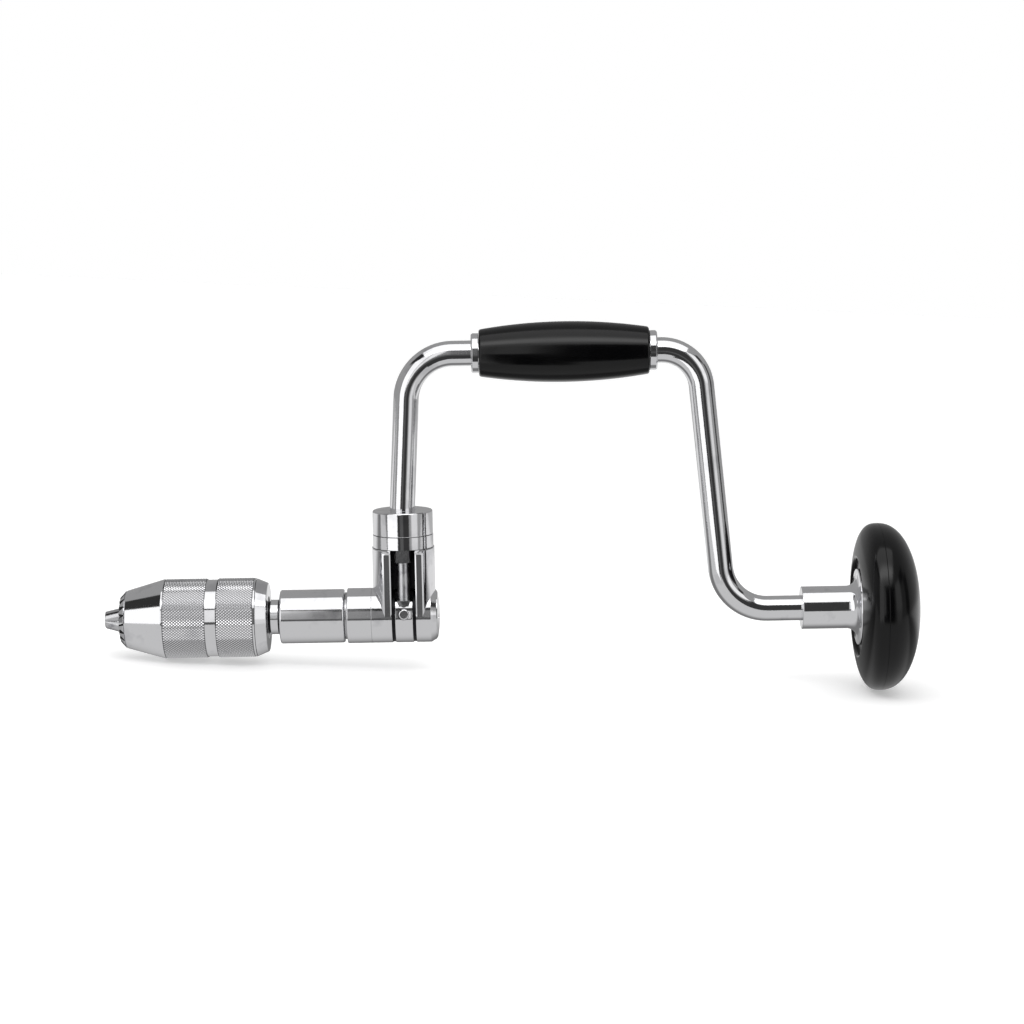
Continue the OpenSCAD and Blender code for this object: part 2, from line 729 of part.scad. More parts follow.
module chuck_body() color("silver") difference() {
    x_front = nose_reach + body_recess;
    body_nose_r = tooth_ring_bore_r - free_gap;
    union() {
        rod_x(x_front, x_nut - 0.3, body_nose_r);
        rod_x(x_front, x_body_end, nut_core_r);
        rod_x(x_flange, x_body_end, body_r);
    }
    rod_x(x_front - cut, x_jaw_end, shank_bore_r);
    for (i = [0:2]) jaw_bar(i, jaw_bar_r + slide_clear, x_jaw_end + 0.5);
    rod_x(x_body_end - nose_len - 0.1, x_body_end + cut, nose_r + seat_clear);
}

// Inclined round bar of a jaw, cut off square to the spindle at x_end
module jaw_bar(i, r, x_end) rotate([jaw_turn(i), 0, 0]) intersection() {
    translate([0, 0, jaw_axis_r]) rotate([0, 90 - jaw_angle, 0])
        translate([0, 0, -2 * jaw_bar_r]) cylinder(r = r, h = 2 * x_end);
    translate([-4 * jaw_bar_r, -2 * shell_r, -2 * shell_r])
        cube([x_end + 4 * jaw_bar_r, 4 * shell_r, 4 * shell_r]);
}

// One jaw points to the back, the others up and down and to the front
function jaw_turn(i) = 270 + i * 120;

module jaw(i) color("gray") difference() {
    intersection() {
        jaw_bar(i, jaw_bar_r, jaw_len);
        turned([[0, 0], [jaw_tip_r - jaw_tip_chamfer, 0], [jaw_tip_r, jaw_tip_chamfer],
            [2 * shell_r, 2 * shell_r], [0, 2 * shell_r]]);
        rotate([jaw_turn(i), 0, 0]) rotate([90, 0, 90]) linear_extrude(jaw_len)
            polygon([[0, jaw_gap / sin(60)], [shell_r, jaw_gap / sin(60) + shell_r / tan(60)],
                [shell_r, 2 * shell_r], [-shell_r, 2 * shell_r],
                [-shell_r, jaw_gap / sin(60) + shell_r / tan(60)]]);
    }
    rod_x(-cut, jaw_len + cut, bit_r);
}

module jaw_1() jaw(0);

module jaw_2() jaw(1);

module jaw_3() jaw(2);

// Chuck shell, and what turns with it

module chuck_shell() color("lightgray") {
    x_nut_bore = x_seam + tooth_spigot_len;
    turned([[tooth_spigot_r + seat_clear, x_seam], [shell_front_r - 0.6, x_seam],
        [shell_front_r, x_seam + 0.7], [shell_r, x_band], [shell_r, x_groove],
        [shell_r - groove_depth, x_groove], [shell_r - groove_depth, x_band_rear],
        [shell_r, x_band_rear], [shell_r, x_tail], [shell_bore_r, x_tail],
        [shell_bore_r, x_flange - 0.1], [nut_r + seat_clear, x_flange - 0.1],
        [nut_r + seat_clear, x_nut_bore], [tooth_spigot_r + seat_clear, x_nut_bore]]);
}

module toothed_ring() color("silver") {
    bevel_r = tooth_ring_r - 2.6;
    bevel_x = tooth_ring_len - 0.2;
    slope = atan2(bevel_x, tooth_ring_r - bevel_r);
    difference() {
        turned([[tooth_ring_bore_r, nose_reach], [bevel_r, nose_reach],
            [tooth_ring_r, nose_reach + bevel_x], [tooth_ring_r, x_seam - 0.05],
            [tooth_spigot_r, x_seam - 0.05], [tooth_spigot_r, x_seam + tooth_spigot_len],
            [tooth_ring_bore_r, x_seam + tooth_spigot_len]]);
        for (i = [0:key_teeth - 1]) rotate([i * 360 / key_teeth, 0, 0])
            translate([nose_reach, 0, bevel_r]) rotate([0, slope, 0])
                translate([0, 0, -3]) linear_extrude(tooth_ring_r)
                    polygon([[key_gap_depth, 0], [-key_gap_depth, key_gap_w],
                        [-key_gap_depth, -key_gap_w]]);
    }
}

// Half of the nut, up or down, with the cone that bears on the jaws
module nut_half(side) difference() {
    x_end = x_nut + nut_len;
    turned([[jaw_outer_r(x_nut) + free_gap, x_nut], [nut_r, x_nut], [nut_r, x_end],
        [jaw_outer_r(x_end) + free_gap, x_end]]);
    translate([x_nut - cut, -2 * nut_r, side > 0 ? -2 * nut_r : -0.1])
        cube([nut_len + 2 * cut, 4 * nut_r, 2 * nut_r + 0.1]);
}

module nut_half_upper() color("gray") nut_half(1);

module nut_half_lower() color("gray") nut_half(-1);

module nut_washer() color("gray")
    tube_x(x_nut_washer, x_nut_washer + nut_washer_t, nut_r,
        jaw_outer_r(x_nut_washer + nut_washer_t) + free_gap);

module rear_collar() color("silver") {
    bore_r = neck_r + free_gap;
    shoulder = shell_r - 0.4;
    turned([[bore_r, x_tail - collar_spigot_len], [shell_bore_r - seat_clear,
        x_tail - collar_spigot_len], [shell_bore_r - seat_clear, x_tail + 0.05],
        [shoulder, x_tail + 0.05], [tail_r + 1.2, x_tail + tail_len * 0.5],
        [tail_r + 0.4, x_tail + tail_len * 0.85], [tail_r, x_tail_end],
        [bore_r + 1.4, x_tail_end], [bore_r, x_tail_end - 1.4]]);
}

// Ratchet control

// Height of the selector's cam at an angle from +X: low, rising over 90 degrees, high
function cam_height(a) = cam_low + pawl_lift
    * max(0, min(1, (a - cam_lead) / 90, (270 - cam_lead - a) / 90));

module selector_ring() color("silver") difference() {
    union() {
        difference() {
            post(z_selector, z_cap - face_gap, selector_r);
            post(z_selector - cut, z_cap, selector_r - selector_wall);
        }
        post(plate_low, cam_low, selector_r - selector_wall / 2);
        cam();
    }
    post(plate_low - cut, z_cap + pawl_lift + cut, yoke_neck_r + run_clear);
    for (start = [0, 180]) follower_slot(start);
}

// Raised track, one closed ring of points per 5 degrees
module cam() {
    n = 72;
    base = plate_low + plate_t / 2;
    points = [for (i = [0:n - 1]) let (a = i * 360 / n) each
        [for (p = [[cam_in_r, base], [cam_out_r, base], [cam_out_r, cam_height(a) + 0.001],
            [cam_in_r, cam_height(a) + 0.001]]) [p.x * cos(a), p.x * sin(a), p.y]]];
    faces = [for (i = [0:n - 1], k = [0:3], half = [0, 1])
        let (a = 4 * i + k, b = 4 * i + (k + 1) % 4,
            c = 4 * ((i + 1) % n) + k, d = 4 * ((i + 1) % n) + (k + 1) % 4)
            half == 0 ? [a, b, d] : [a, d, c]];
    translate([x_column, 0, 0]) polyhedron(points, faces);
}

// Curved slot for a pawl's stem, from its place at one end of the travel to the other
module follower_slot(start) translate([x_column, 0, plate_low - cut]) {
    w = upper_stem_r + slot_clear;
    h = plate_t + pawl_lift + 3 * cut;
    rotate([0, 0, start]) rotate_extrude(angle = 90) translate([pawl_y - w, 0]) square([2 * w, h]);
    for (a = [start, start + 90]) rotate([0, 0, a]) translate([pawl_y, 0, 0])
        cylinder(r = w, h = h);
}

// Pawl in its lowered place on the front side, with its flat towards the spindle
module pawl() {
    intersection() {
        union() {
            pawl_post(nose_top, head_top, pawl_r);
            intersection() {
                pawl_post(nose_low, nose_top, pawl_r);
                translate([x_column, 0, 0]) rotate([90, 0, 0]) linear_extrude(3 * pawl_y)
                    polygon([[-nose_tip_half_w, nose_low], [nose_tip_half_w, nose_low],
                        [nose_top_half_w, nose_top], [-nose_top_half_w, nose_top]]);
                translate([x_column - 2 * pawl_r, -3 * pawl_y, nose_low])
                    cube([4 * pawl_r, 2 * pawl_y + nose_flat_y, nose_top]);
            }
            translate([x_column, -pawl_y, head_top - pawl_head_len])
                cylinder(r1 = pawl_head_r + flare, r2 = pawl_head_r, h = pawl_head_len);
        }
        translate([x_column - 2 * pawl_head_r, -3 * pawl_y, 0])
            cube([4 * pawl_head_r, 2 * pawl_y + pawl_r + 0.05, column_top]);
    }
    pawl_post(head_top, follower_low, upper_stem_r);
    pawl_post(follower_low, follower_low + follower_t, follower_r);
    pawl_post(follower_low, spring_stem_top, spring_stem_r);
}

module pawl_post(z0, z1, r) translate([0, -pawl_y, 0]) post(z0, z1, r);

module front_pawl() color("silver") pawl();

module rear_pawl() color("silver") translate([0, 0, pawl_lift]) mirror([0, 1, 0]) pawl();

// Grip

module grip() color("dimgray") {
    rise = grip_mid_r - grip_end_r;
    half = grip_len / 2;
    ball = (pow(half, 2) + pow(rise, 2)) / (2 * rise);
    x_mid = x_grip + half;
    end_a = asin((half - grip_round) / ball);
    edge_r = grip_mid_r - ball * (1 - cos(end_a)) - grip_round;
    translate([0, 0, sweep]) difference() {
        turned(concat([[0, x_grip]], arc(edge_r, x_grip + grip_round, grip_round, -90, -end_a),
            arc(grip_mid_r - ball, x_mid, ball, -end_a, end_a, 20),
            arc(edge_r, x_grip_end - grip_round, grip_round, end_a, 90), [[0, x_grip_end]]));
        rod_x(x_grip - cut, x_grip_end + cut, bar_r + grip_room);
        for (x = [x_grip - cut, x_grip_end - grip_bush_len])
            rod_x(x, x + grip_bush_len + cut, grip_bush_r + seat_clear);
    }
}

module grip_bush(x) color("ivory") translate([0, 0, sweep])
    tube_x(x, x + grip_bush_len - 0.1, grip_bush_r, bar_r + slide_clear);

module grip_bush_left() grip_bush(x_grip);

module grip_bush_right() grip_bush(x_grip_end - grip_bush_len + 0.1);

// Head

module head_hub() color("silver") {
    rim_x = x_seat - flange_rim_t;
    difference() {
        turned(concat([[0, x_hub], [hub_r - 0.4, x_hub], [hub_r, x_hub + 0.4]],
            arc(hub_r + flare_r, rim_x - flare_r - 0.6, flare_r, 180, 110, 10),
            [[flange_r - 0.5, rim_x], [flange_r, rim_x + 0.5], [flange_r, x_seat],
            [0, x_seat]]));
        rod_x(x_hub - cut, x_seat, bar_r + slide_clear);
        rod_x(x_hub_step, x_seat + cut, nut_pocket_r);
        at_screws() {
            rod_x(x_seat - 6, x_seat + cut, screw_r + 0.1);
            rod_x(x_seat - 8, screw_x() + screw_head_len + 0.05, screw_head_r + 0.1);
        }
    }
}

// Front face of the screw heads
function screw_x() = x_seat - 3;

module at_screws() {
    for (i = [0:2]) rotate([i * 120, 0, 0]) translate([0, 0, screw_circle_r]) children();
}

module head_screws() color("gray") at_screws() difference() {
    union() {
        rod_x(screw_x(), screw_x() + screw_head_len, screw_head_r);
        rod_x(screw_x(), screw_x() + screw_len, screw_r);
    }
    translate([screw_x() - cut, -0.4, -screw_head_r]) cube([cut + 0.8, 0.8, 2 * screw_head_r]);
}

module thrust_plate() color("gray")
    rod_x(x_plate, x_plate + thrust_plate_t, plate_r);

module head_inner() color("dimgray") {
    lip_axis_r = recess_r + lip_r;
    x_lip = x_head_seam - head_inner_depth
        * pow(1 - pow(lip_axis_r / head_r, inner_power), 1 / inner_power);
    dome_a = acos(pow((lip_axis_r + 0.6 * lip_r) / head_r, inner_power / 2));
    difference() {
        turned(concat([[0, x_seat], [recess_r, x_seat]],
            arc(lip_axis_r, x_lip + lip_r, lip_r, 180, 290),
            dome(x_head_seam, head_r, -head_inner_depth, inner_power, dome_a, 0),
            [[head_r - rim_w, x_head_seam], [head_r - rim_w, x_seat + inner_floor_t],
            [0, x_seat + inner_floor_t]]));
        rod_x(x_seat - cut, x_seat + 2 * inner_floor_t, plate_r + 0.05);
        at_screws() rod_x(x_seat - cut, x_seat + 2 * inner_floor_t, screw_r + 0.1);
    }
}

module head_outer() color("dimgray") {
    inside_r = head_r - rim_w;
    inside_depth = head_outer_depth - head_wall;
    x_start = x_head_seam + 0.02;
    difference() {
        union() {
            difference() {
                turned(concat([[0, x_start]],
                    dome(x_start, head_r, head_outer_depth, outer_power, 0, 90)));
                turned(concat([[0, x_start - cut], [inside_r, x_start - cut]],
                    dome(x_start, inside_r, inside_depth, outer_power, 0, 90)));
            }
            rod_x(x_plate + thrust_plate_t + 0.02, x_head_seam + inside_depth + 1, plate_r - 0.1);
            at_screws() rod_x(x_seat + inner_floor_t + 0.02, x_head_seam + inside_depth,
                boss_post_r);
        }
        at_screws() rod_x(x_seat, screw_x() + screw_len + 0.3, screw_r + seat_clear);
    }
}

crank();
socket_cap();
cross_pin();
yoke();
front_ring();
thrust_washer();
front_bush();
rear_bush();
pawl_ring();
ferrule_left();
ferrule_right();
head_nut();
head_race();
ball_cage();
thrust_balls();
pawl_spring_front();
pawl_spring_rear();
spindle();
ratchet_wheel();
drive_key();
wheel_clip();
end_cap();
chuck_body();
chuck_shell();
toothed_ring();
nut_half_upper();
nut_half_lower();
nut_washer();
rear_collar();
jaw_1();
jaw_2();
jaw_3();
selector_ring();
front_pawl();
rear_pawl();
grip();
grip_bush_left();
grip_bush_right();
head_hub();
head_inner();
head_outer();
head_screws();
thrust_plate();
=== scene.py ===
import math

import bmesh
import bpy
from mathutils import Matrix, Vector


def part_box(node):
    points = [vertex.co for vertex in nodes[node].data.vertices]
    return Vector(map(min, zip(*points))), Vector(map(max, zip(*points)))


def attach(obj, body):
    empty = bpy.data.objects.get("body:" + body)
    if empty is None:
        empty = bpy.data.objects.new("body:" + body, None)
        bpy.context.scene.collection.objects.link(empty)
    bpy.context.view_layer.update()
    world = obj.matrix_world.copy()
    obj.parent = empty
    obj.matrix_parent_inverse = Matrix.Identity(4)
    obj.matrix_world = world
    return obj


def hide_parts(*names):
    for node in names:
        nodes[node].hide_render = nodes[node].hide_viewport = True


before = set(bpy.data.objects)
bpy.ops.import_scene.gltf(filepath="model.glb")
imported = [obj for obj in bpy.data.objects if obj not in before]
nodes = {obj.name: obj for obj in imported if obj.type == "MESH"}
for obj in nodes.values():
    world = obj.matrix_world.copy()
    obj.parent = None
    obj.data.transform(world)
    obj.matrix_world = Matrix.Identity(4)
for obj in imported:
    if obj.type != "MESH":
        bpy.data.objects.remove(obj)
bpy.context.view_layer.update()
scene = bpy.context.scene
mm = 0.001

print("stage: camera")

# The picture is 1024 px wide. Its view is a long lens, a little above the spindle
camera = {
    "target": (195.6, 0, 48.8),
    "distance": 1240,
    "focalPixels": 2600,
    "framePixels": 1024,
    "sensor": 36,
    "pitch": 8.2,
    "yaw": 0,
    "roll": 1.0,
    "clip": (50, 50000),
}


def addCamera(spec):
    pitch, yaw, roll = (math.radians(spec[k]) for k in ("pitch", "yaw", "roll"))
    back = Vector((math.sin(yaw) * math.cos(pitch), -math.cos(yaw) * math.cos(pitch), math.sin(pitch)))
    right = Vector((math.cos(yaw), math.sin(yaw), 0))
    up = back.cross(right)
    turnedRight = right * math.cos(roll) - up * math.sin(roll)
    turnedUp = up * math.cos(roll) + right * math.sin(roll)
    place = Vector(spec["target"]) * mm + back * spec["distance"] * mm
    data = bpy.data.cameras.new("camera")
    data.sensor_width = spec["sensor"]
    data.lens = spec["focalPixels"] / spec["framePixels"] * spec["sensor"]
    data.clip_start, data.clip_end = (end * mm for end in spec["clip"])
    item = bpy.data.objects.new("camera", data)
    item.matrix_world = Matrix((turnedRight, turnedUp, back)).transposed().to_4x4()
    item.matrix_world.translation = place
    scene.collection.objects.link(item)
    scene.camera = item


addCamera(camera)
scene.view_settings.view_transform = "Standard"


# sRGB hex to the linear colour that shaders take
def hexToLinear(text):
    channels = [int(text[i:i + 2], 16) / 255 for i in (1, 3, 5)]
    linear = [c / 12.92 if c <= 0.04045 else ((c + 0.055) / 1.055) ** 2.4 for c in channels]
    return (*linear, 1.0)


# One node with its settings (inputs by name or number, or the node's own fields) and links
def addNode(tree, kind, settings=None, links=None):
    node = tree.nodes.new("ShaderNode" + kind)
    for key, value in (settings or {}).items():
        if isinstance(key, int) or (key in node.inputs and not hasattr(node, key)):
            node.inputs[key].default_value = value
        else:
            setattr(node, key, value)
    for key, socket in (links or {}).items():
        tree.links.new(socket, node.inputs[key])
    return node


def newMaterial(name):
    material = bpy.data.materials.new(name)
    material.use_nodes = True
    material.node_tree.nodes.clear()
    return material, material.node_tree


def newItem(name, vertices, faces):
    mesh = bpy.data.meshes.new(name)
    mesh.from_pydata(vertices, [], faces)
    item = bpy.data.objects.new(name, mesh)
    scene.collection.objects.link(item)
    return item


print("stage: studio")

# What bright metal mirrors: directions in degrees, azimuth 0 towards the camera and +90 to the
# head's end, elevation 0 level. Each patch covers the ones before it
studio = {
    "white": 1.0,
    "ambient": 0.75,
    # the room is brighter behind the brace, so its soft shadow falls towards the camera
    "ambientLean": 0.9,
    "base": 0.33,
    "patches": [
        # name, azimuth from, to, elevation from, to, soft edge, brightness
        ("frontGap", -62, 90, -60, 39, 2, 0.04),
        ("leftGap", -96, -45, 37, 62, 5, 0.03),
        ("window", -17, -5.3, -2, 34, 2, 0.95),
        ("windowSide", -5.3, -1, -4, 27, 3, 0.25),
        ("stand", -9, 3.5, -14, -4, 3, 0.10),
        ("leftCard", -59, -18.5, -60, 38, 1.5, 1.2),
        ("rightDim", 26, 84, -60, 27, 6, 0.33),
        ("rightCard", 35, 60, -60, 27, 6, 0.75),
        ("rightCardTop", 33, 62, 2, 37, 4, 1.0),
        ("rightGap", 84, 101, -60, 25, 2, 0.06),
    ],
}


# Smooth mask, 1 between low and high
def rangeMask(tree, value, low, high, soft):
    masks = []
    for edge, sign in ((low, 1), (high, -1)):
        settings = {"interpolation_type": "SMOOTHSTEP", "From Min": edge - sign * soft / 2,
                    "From Max": edge + sign * soft / 2}
        masks.append(addNode(tree, "MapRange", settings, {"Value": value}).outputs[0])
    return addNode(tree, "Math", {"operation": "MULTIPLY"}, {0: masks[0], 1: masks[1]}).outputs[0]


def addWorld(spec):
    world = bpy.data.worlds.new("studio")
    world.use_nodes = True
    scene.world = world
    tree = world.node_tree
    tree.nodes.clear()
    toward = addNode(tree, "TexCoord").outputs["Generated"]
    parts = addNode(tree, "SeparateXYZ", None, {0: toward})
    front = addNode(tree, "Math", {"operation": "MULTIPLY", 1: -1.0}, {0: parts.outputs["Y"]})
    turn = addNode(tree, "Math", {"operation": "ARCTAN2"}, {0: parts.outputs["X"], 1: front.outputs[0]})
    rise = addNode(tree, "Math", {"operation": "ARCSINE"}, {0: parts.outputs["Z"]})
    azimuth, elevation = (
        addNode(tree, "Math", {"operation": "DEGREES"}, {0: n.outputs[0]}).outputs[0]
        for n in (turn, rise))
    level = None
    for name, a0, a1, e0, e1, soft, value in spec["patches"]:
        around = rangeMask(tree, azimuth, a0, a1, soft)
        along = rangeMask(tree, elevation, e0, e1, soft)
        mask = addNode(tree, "Math", {"operation": "MULTIPLY"}, {0: around, 1: along})
        mix = addNode(tree, "Mix", {"data_type": "FLOAT", "label": name, 2: spec["base"], 3: value},
                      {0: mask.outputs[0]})
        if level:
            tree.links.new(level, mix.inputs[2])
        level = mix.outputs[0]
    path = addNode(tree, "LightPath")
    mirrored = addNode(tree, "Background", {"Strength": 1.0}, {"Color": level})
    lean = addNode(tree, "Math", {"operation": "MULTIPLY_ADD", 1: spec["ambient"] * spec["ambientLean"],
                                  2: spec["ambient"]}, {0: parts.outputs["Y"]})
    spread = addNode(tree, "Background", {"Strength": 1.0}, {"Color": lean.outputs[0]})
    seen = addNode(tree, "Background", {"Color": (spec["white"],) * 3 + (1,), "Strength": 1.0})
    glossy = addNode(tree, "MixShader", None,
                     {0: path.outputs["Is Glossy Ray"], 1: spread.outputs[0], 2: mirrored.outputs[0]})
    clear = addNode(tree, "Math", {"operation": "MAXIMUM"},
                    {0: path.outputs["Is Camera Ray"], 1: path.outputs["Is Transmission Ray"]})
    final = addNode(tree, "MixShader", None,
                    {0: clear.outputs[0], 1: glossy.outputs[0], 2: seen.outputs[0]})
    addNode(tree, "OutputWorld", None, {"Surface": final.outputs[0]})


addWorld(studio)

# The overhead softbox and the lit table hang or lie close, so they are real sheets and not part of
# the world. Brightness runs across each one (Y in mm): the softbox has a hot core, the table is
# dim close behind the brace, where its shadow falls, and less bright again far behind
softbox = {
    "height": 560,
    "outline": [(-150, -720), (-150, 50), (620, 50), (620, -720)],
    "level": 1.2,
    "bands": [(-500, -270, 160, 1.9)],
}
# In front of the brace the table ends early: beyond it stand the dark stand and the white cards
litTable = {
    "outline": [(-900, -150), (240, -150), (240, -230), (1200, -230), (1200, 1500), (-900, 1500)],
    "level": 0.33,
    "bands": [(-1000, 0, 30, 0.27), (5, 90, 30, -0.13), (140, 3000, 100, 0.45), (420, 3000, 100, -0.3)],
}


def sheet(name, corners):
    item = newItem(name, [Vector(c) * mm for c in corners], [tuple(range(len(corners)))])
    return item


# Sheet that only mirrors see, brighter or darker in bands (Y from, to, soft edge, added level)
def mirrorSheet(name, spec, height):
    item = sheet(name, [(x, y, height(x)) for x, y in spec["outline"]])
    material, tree = newMaterial(name + "Light")
    place = addNode(tree, "TexCoord").outputs["Object"]
    across = addNode(tree, "SeparateXYZ", None, {0: place}).outputs["Y"]
    level = addNode(tree, "Value")
    level.outputs[0].default_value = spec["level"]
    for low, high, soft, gain in spec["bands"]:
        mask = rangeMask(tree, across, low * mm, high * mm, soft * mm)
        level = addNode(tree, "Math", {"operation": "MULTIPLY_ADD", 1: gain},
                        {0: mask, 2: level.outputs[0]})
    light = addNode(tree, "Emission", {"Color": (1, 1, 1, 1)}, {"Strength": level.outputs[0]})
    addNode(tree, "OutputMaterial", None, {"Surface": light.outputs[0]})
    item.data.materials.append(material)
    item.visible_camera = item.visible_shadow = item.visible_transmission = False
    return item


mirrorSheet("softbox", softbox, lambda x: softbox["height"])

# The brace stands on the front corner of its chuck and the head's rim: the table slopes under it
table = {
    "chuckCorner": 29.0, "reach": 3000, "drop": 0.4, "color": "#F0F0F0",
    # its own light, which only the camera sees, and the lit sheet's gap below it
    "ownLight": 0.35, "gap": 2,
}


def addTable(spec):
    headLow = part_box("head_outer")[0]
    x0, z0 = spec["chuckCorner"] * mm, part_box("chuck_shell")[0].z
    x1, z1 = headLow.x, headLow.z
    slope = (z1 - z0) / (x1 - x0)
    middle = (x0 + x1) / 2
    reach = spec["reach"] * mm

    def height(x):
        return z0 + slope * (x - x0) - spec["drop"] * mm

    corners = [(middle + i * reach, j * reach, height(middle + i * reach))
               for i, j in ((-1, -1), (1, -1), (1, 1), (-1, 1))]
    item = sheet("table", [Vector(c) / mm for c in corners])
    material, tree = newMaterial("paperTable")
    path = addNode(tree, "LightPath")
    paper = addNode(tree, "BsdfDiffuse", {"Color": hexToLinear(spec["color"])})
    glow = addNode(tree, "Emission", {"Color": (1, 1, 1, 1)})
    own = addNode(tree, "Math", {"operation": "MULTIPLY", 1: spec["ownLight"]},
                  {0: path.outputs["Is Camera Ray"]})
    tree.links.new(own.outputs[0], glow.inputs["Strength"])
    both = addNode(tree, "AddShader", None, {0: paper.outputs[0], 1: glow.outputs[0]})
    addNode(tree, "OutputMaterial", None, {"Surface": both.outputs[0]})
    item.data.materials.append(material)
    item.visible_glossy = False
    lit = mirrorSheet("litTable", litTable, lambda x: height(x * mm) / mm - spec["gap"])
    lit.visible_diffuse = False


addTable(table)

print("stage: materials")

# What the metals share. In all finishes haze and ripple are sizes in mm
metal = {
    "shader": {"Metallic": 1.0}, "hazeDetail": 3.0, "hazeRoughness": 0.55, "rippleRoughness": 0.6,
    "tintFrom": (0.30, 0.45),
}
# Bright nickel plate on turned and polished steel: mirror-like, with a faint ripple from the
# buffing that breaks dark reflections into fine grain
nickelPlate = dict(metal, name="nickelPlatePolished", tints=("#D8D8DB", "#EDEDEF"),
                   roughness=(0.04, 0.09), ripple=0.55, rippleHeight=0.008, haze=14)
# The same plate where fine lathe marks stay under it
nickelTurned = dict(nickelPlate, name="nickelPlateTurned", roughness=(0.05, 0.10), ripple=0.45,
                    rippleHeight=0.003)
# The knurl, with painted shade in its grooves (radii in mm where it ends): dark lines round bright points
knurledPlate = dict(nickelTurned, name="nickelPlateKnurled", grooveShadeRadii=(18.62, 18.84), grooveShadeColor="#6A6A6C")
# Hardened and ground steel without plate: a little darker and duller
steelGround = dict(metal, name="steelGround", tints=("#8E8E92", "#B9B9BB"), roughness=(0.16, 0.30),
                   ripple=0.7, rippleHeight=0.003, haze=5)
# Ground and lightly polished steel of the jaws
steelBright = dict(steelGround, name="steelPolished", tints=("#A9A9AD", "#D2D2D4"),
                   roughness=(0.10, 0.2), ripple=0.8, rippleHeight=0.004)
# Tumbled satin steel of the pawls
steelTumbled = dict(steelBright, name="steelTumbled", tints=("#B4B4B8", "#DEDEE0"),
                    roughness=(0.28, 0.4))
# Inside of the housing's slot: forged skin, unpolished, and dark with painted shade
forgedSkinShade = dict(steelGround, name="steelForgedPaintedShade", tints=("#171718", "#2A2A2C"),
                  roughness=(0.35, 0.5), ripple=1.2, rippleHeight=0.01)
# Bearing bronze, turned and left bare: dull gold brown
bronzeTurned = dict(steelGround, name="bronzeTurned", tints=("#6E5234", "#A98352"),
                    roughness=(0.25, 0.4))
# Black phenolic, moulded and buffed: deep black, glossy, slightly uneven, hazed by handling
phenolicBlack = {
    "shader": {"IOR": 1.40}, "hazeDetail": 4.0, "hazeRoughness": 0.6, "rippleRoughness": 0.5,
    "tintFrom": (0.45, 0.75), "name": "phenolicMoulded", "tints": ("#020203", "#060607"),
    "roughness": (0.13, 0.2), "ripple": 1.6, "rippleHeight": 0.004, "haze": 22,
}
# Nylon, machined: ivory and matt
nylonTurned = dict(phenolicBlack, shader={"IOR": 1.52}, name="nylonTurned", tints=("#D6CFB8", "#BDB59B"),
                   roughness=(0.45, 0.6), ripple=0.8, haze=8)


# Every finish has a wide haze in its tint and gloss, and a fine ripple in its bump
def addFinish(spec):
    material, tree = newMaterial(spec["name"])
    place = addNode(tree, "TexCoord").outputs["Object"]
    haze = addNode(tree, "TexNoise", {"Scale": 1 / (spec["haze"] * mm), "Detail": spec["hazeDetail"],
                                      "Roughness": spec["hazeRoughness"]}, {"Vector": place})
    ripple = addNode(tree, "TexNoise", {"Scale": 1 / (spec["ripple"] * mm), "Detail": 2.0,
                                        "Roughness": spec["rippleRoughness"]}, {"Vector": place})
    low, high = spec["tintFrom"]
    spread = addNode(tree, "MapRange", {"From Min": low, "From Max": high}, {0: haze.outputs[0]})
    tint0, tint1 = (hexToLinear(tint) for tint in spec["tints"])
    tint = addNode(tree, "Mix", {"data_type": "RGBA", 6: tint0, 7: tint1}, {0: spread.outputs[0]})
    # painted shade in the knurl's grooves: darker towards the groove roots, between the radii given
    if "grooveShadeRadii" in spec:
        low, high = spec["grooveShadeRadii"]
        across = addNode(tree, "VectorMath", {"operation": "MULTIPLY", 1: (0, 1, 1)}, {0: place})
        radius = addNode(tree, "VectorMath", {"operation": "LENGTH"}, {0: across.outputs[0]})
        unshaded = addNode(tree, "MapRange", {"From Min": low * mm, "From Max": high * mm},
                        {0: radius.outputs["Value"]})
        tint = addNode(tree, "Mix", {"data_type": "RGBA", 6: hexToLinear(spec["grooveShadeColor"])},
                       {0: unshaded.outputs[0], 7: tint.outputs[2]})
    low, high = spec["roughness"]
    rough = addNode(tree, "MapRange", {"From Min": 0.35, "From Max": 0.65, "To Min": low,
                                       "To Max": high}, {0: haze.outputs[0]})
    bump = addNode(tree, "Bump", {"Strength": 1.0, "Distance": spec["rippleHeight"] * mm},
                   {"Height": ripple.outputs[0]})
    surface = addNode(tree, "BsdfPrincipled", spec["shader"],
                      {"Base Color": tint.outputs[2], "Roughness": rough.outputs[0],
                       "Normal": bump.outputs[0]})
    addNode(tree, "OutputMaterial", None, {"Surface": surface.outputs[0]})
    return material


plated = addFinish(nickelPlate)
turnedPlate = addFinish(nickelTurned)
knurled = addFinish(knurledPlate)
bareSteel = addFinish(steelGround)
bronze = addFinish(bronzeTurned)
steelPolished = addFinish(steelBright)
steelSatin = addFinish(steelTumbled)
slotShade = addFinish(forgedSkinShade)
blackPlastic = addFinish(phenolicBlack)
nylon = addFinish(nylonTurned)

print("stage: mesh tools")

# Column's axis and height of the grip's axis, in mm
columnX = 143.4
gripZ = 125
# Half a turn about the column's axis, from the front to the back
halfTurn = Matrix.Translation((2 * columnX * mm, 0, 0)) @ Matrix.Rotation(math.pi, 4, "Z")

# A fillet takes up to this share of the edges beside it, in one step if its turn is below flatTurn
# (radians)
fillets = {"share": 0.45, "flatTurn": 0.3, "steps": 3}


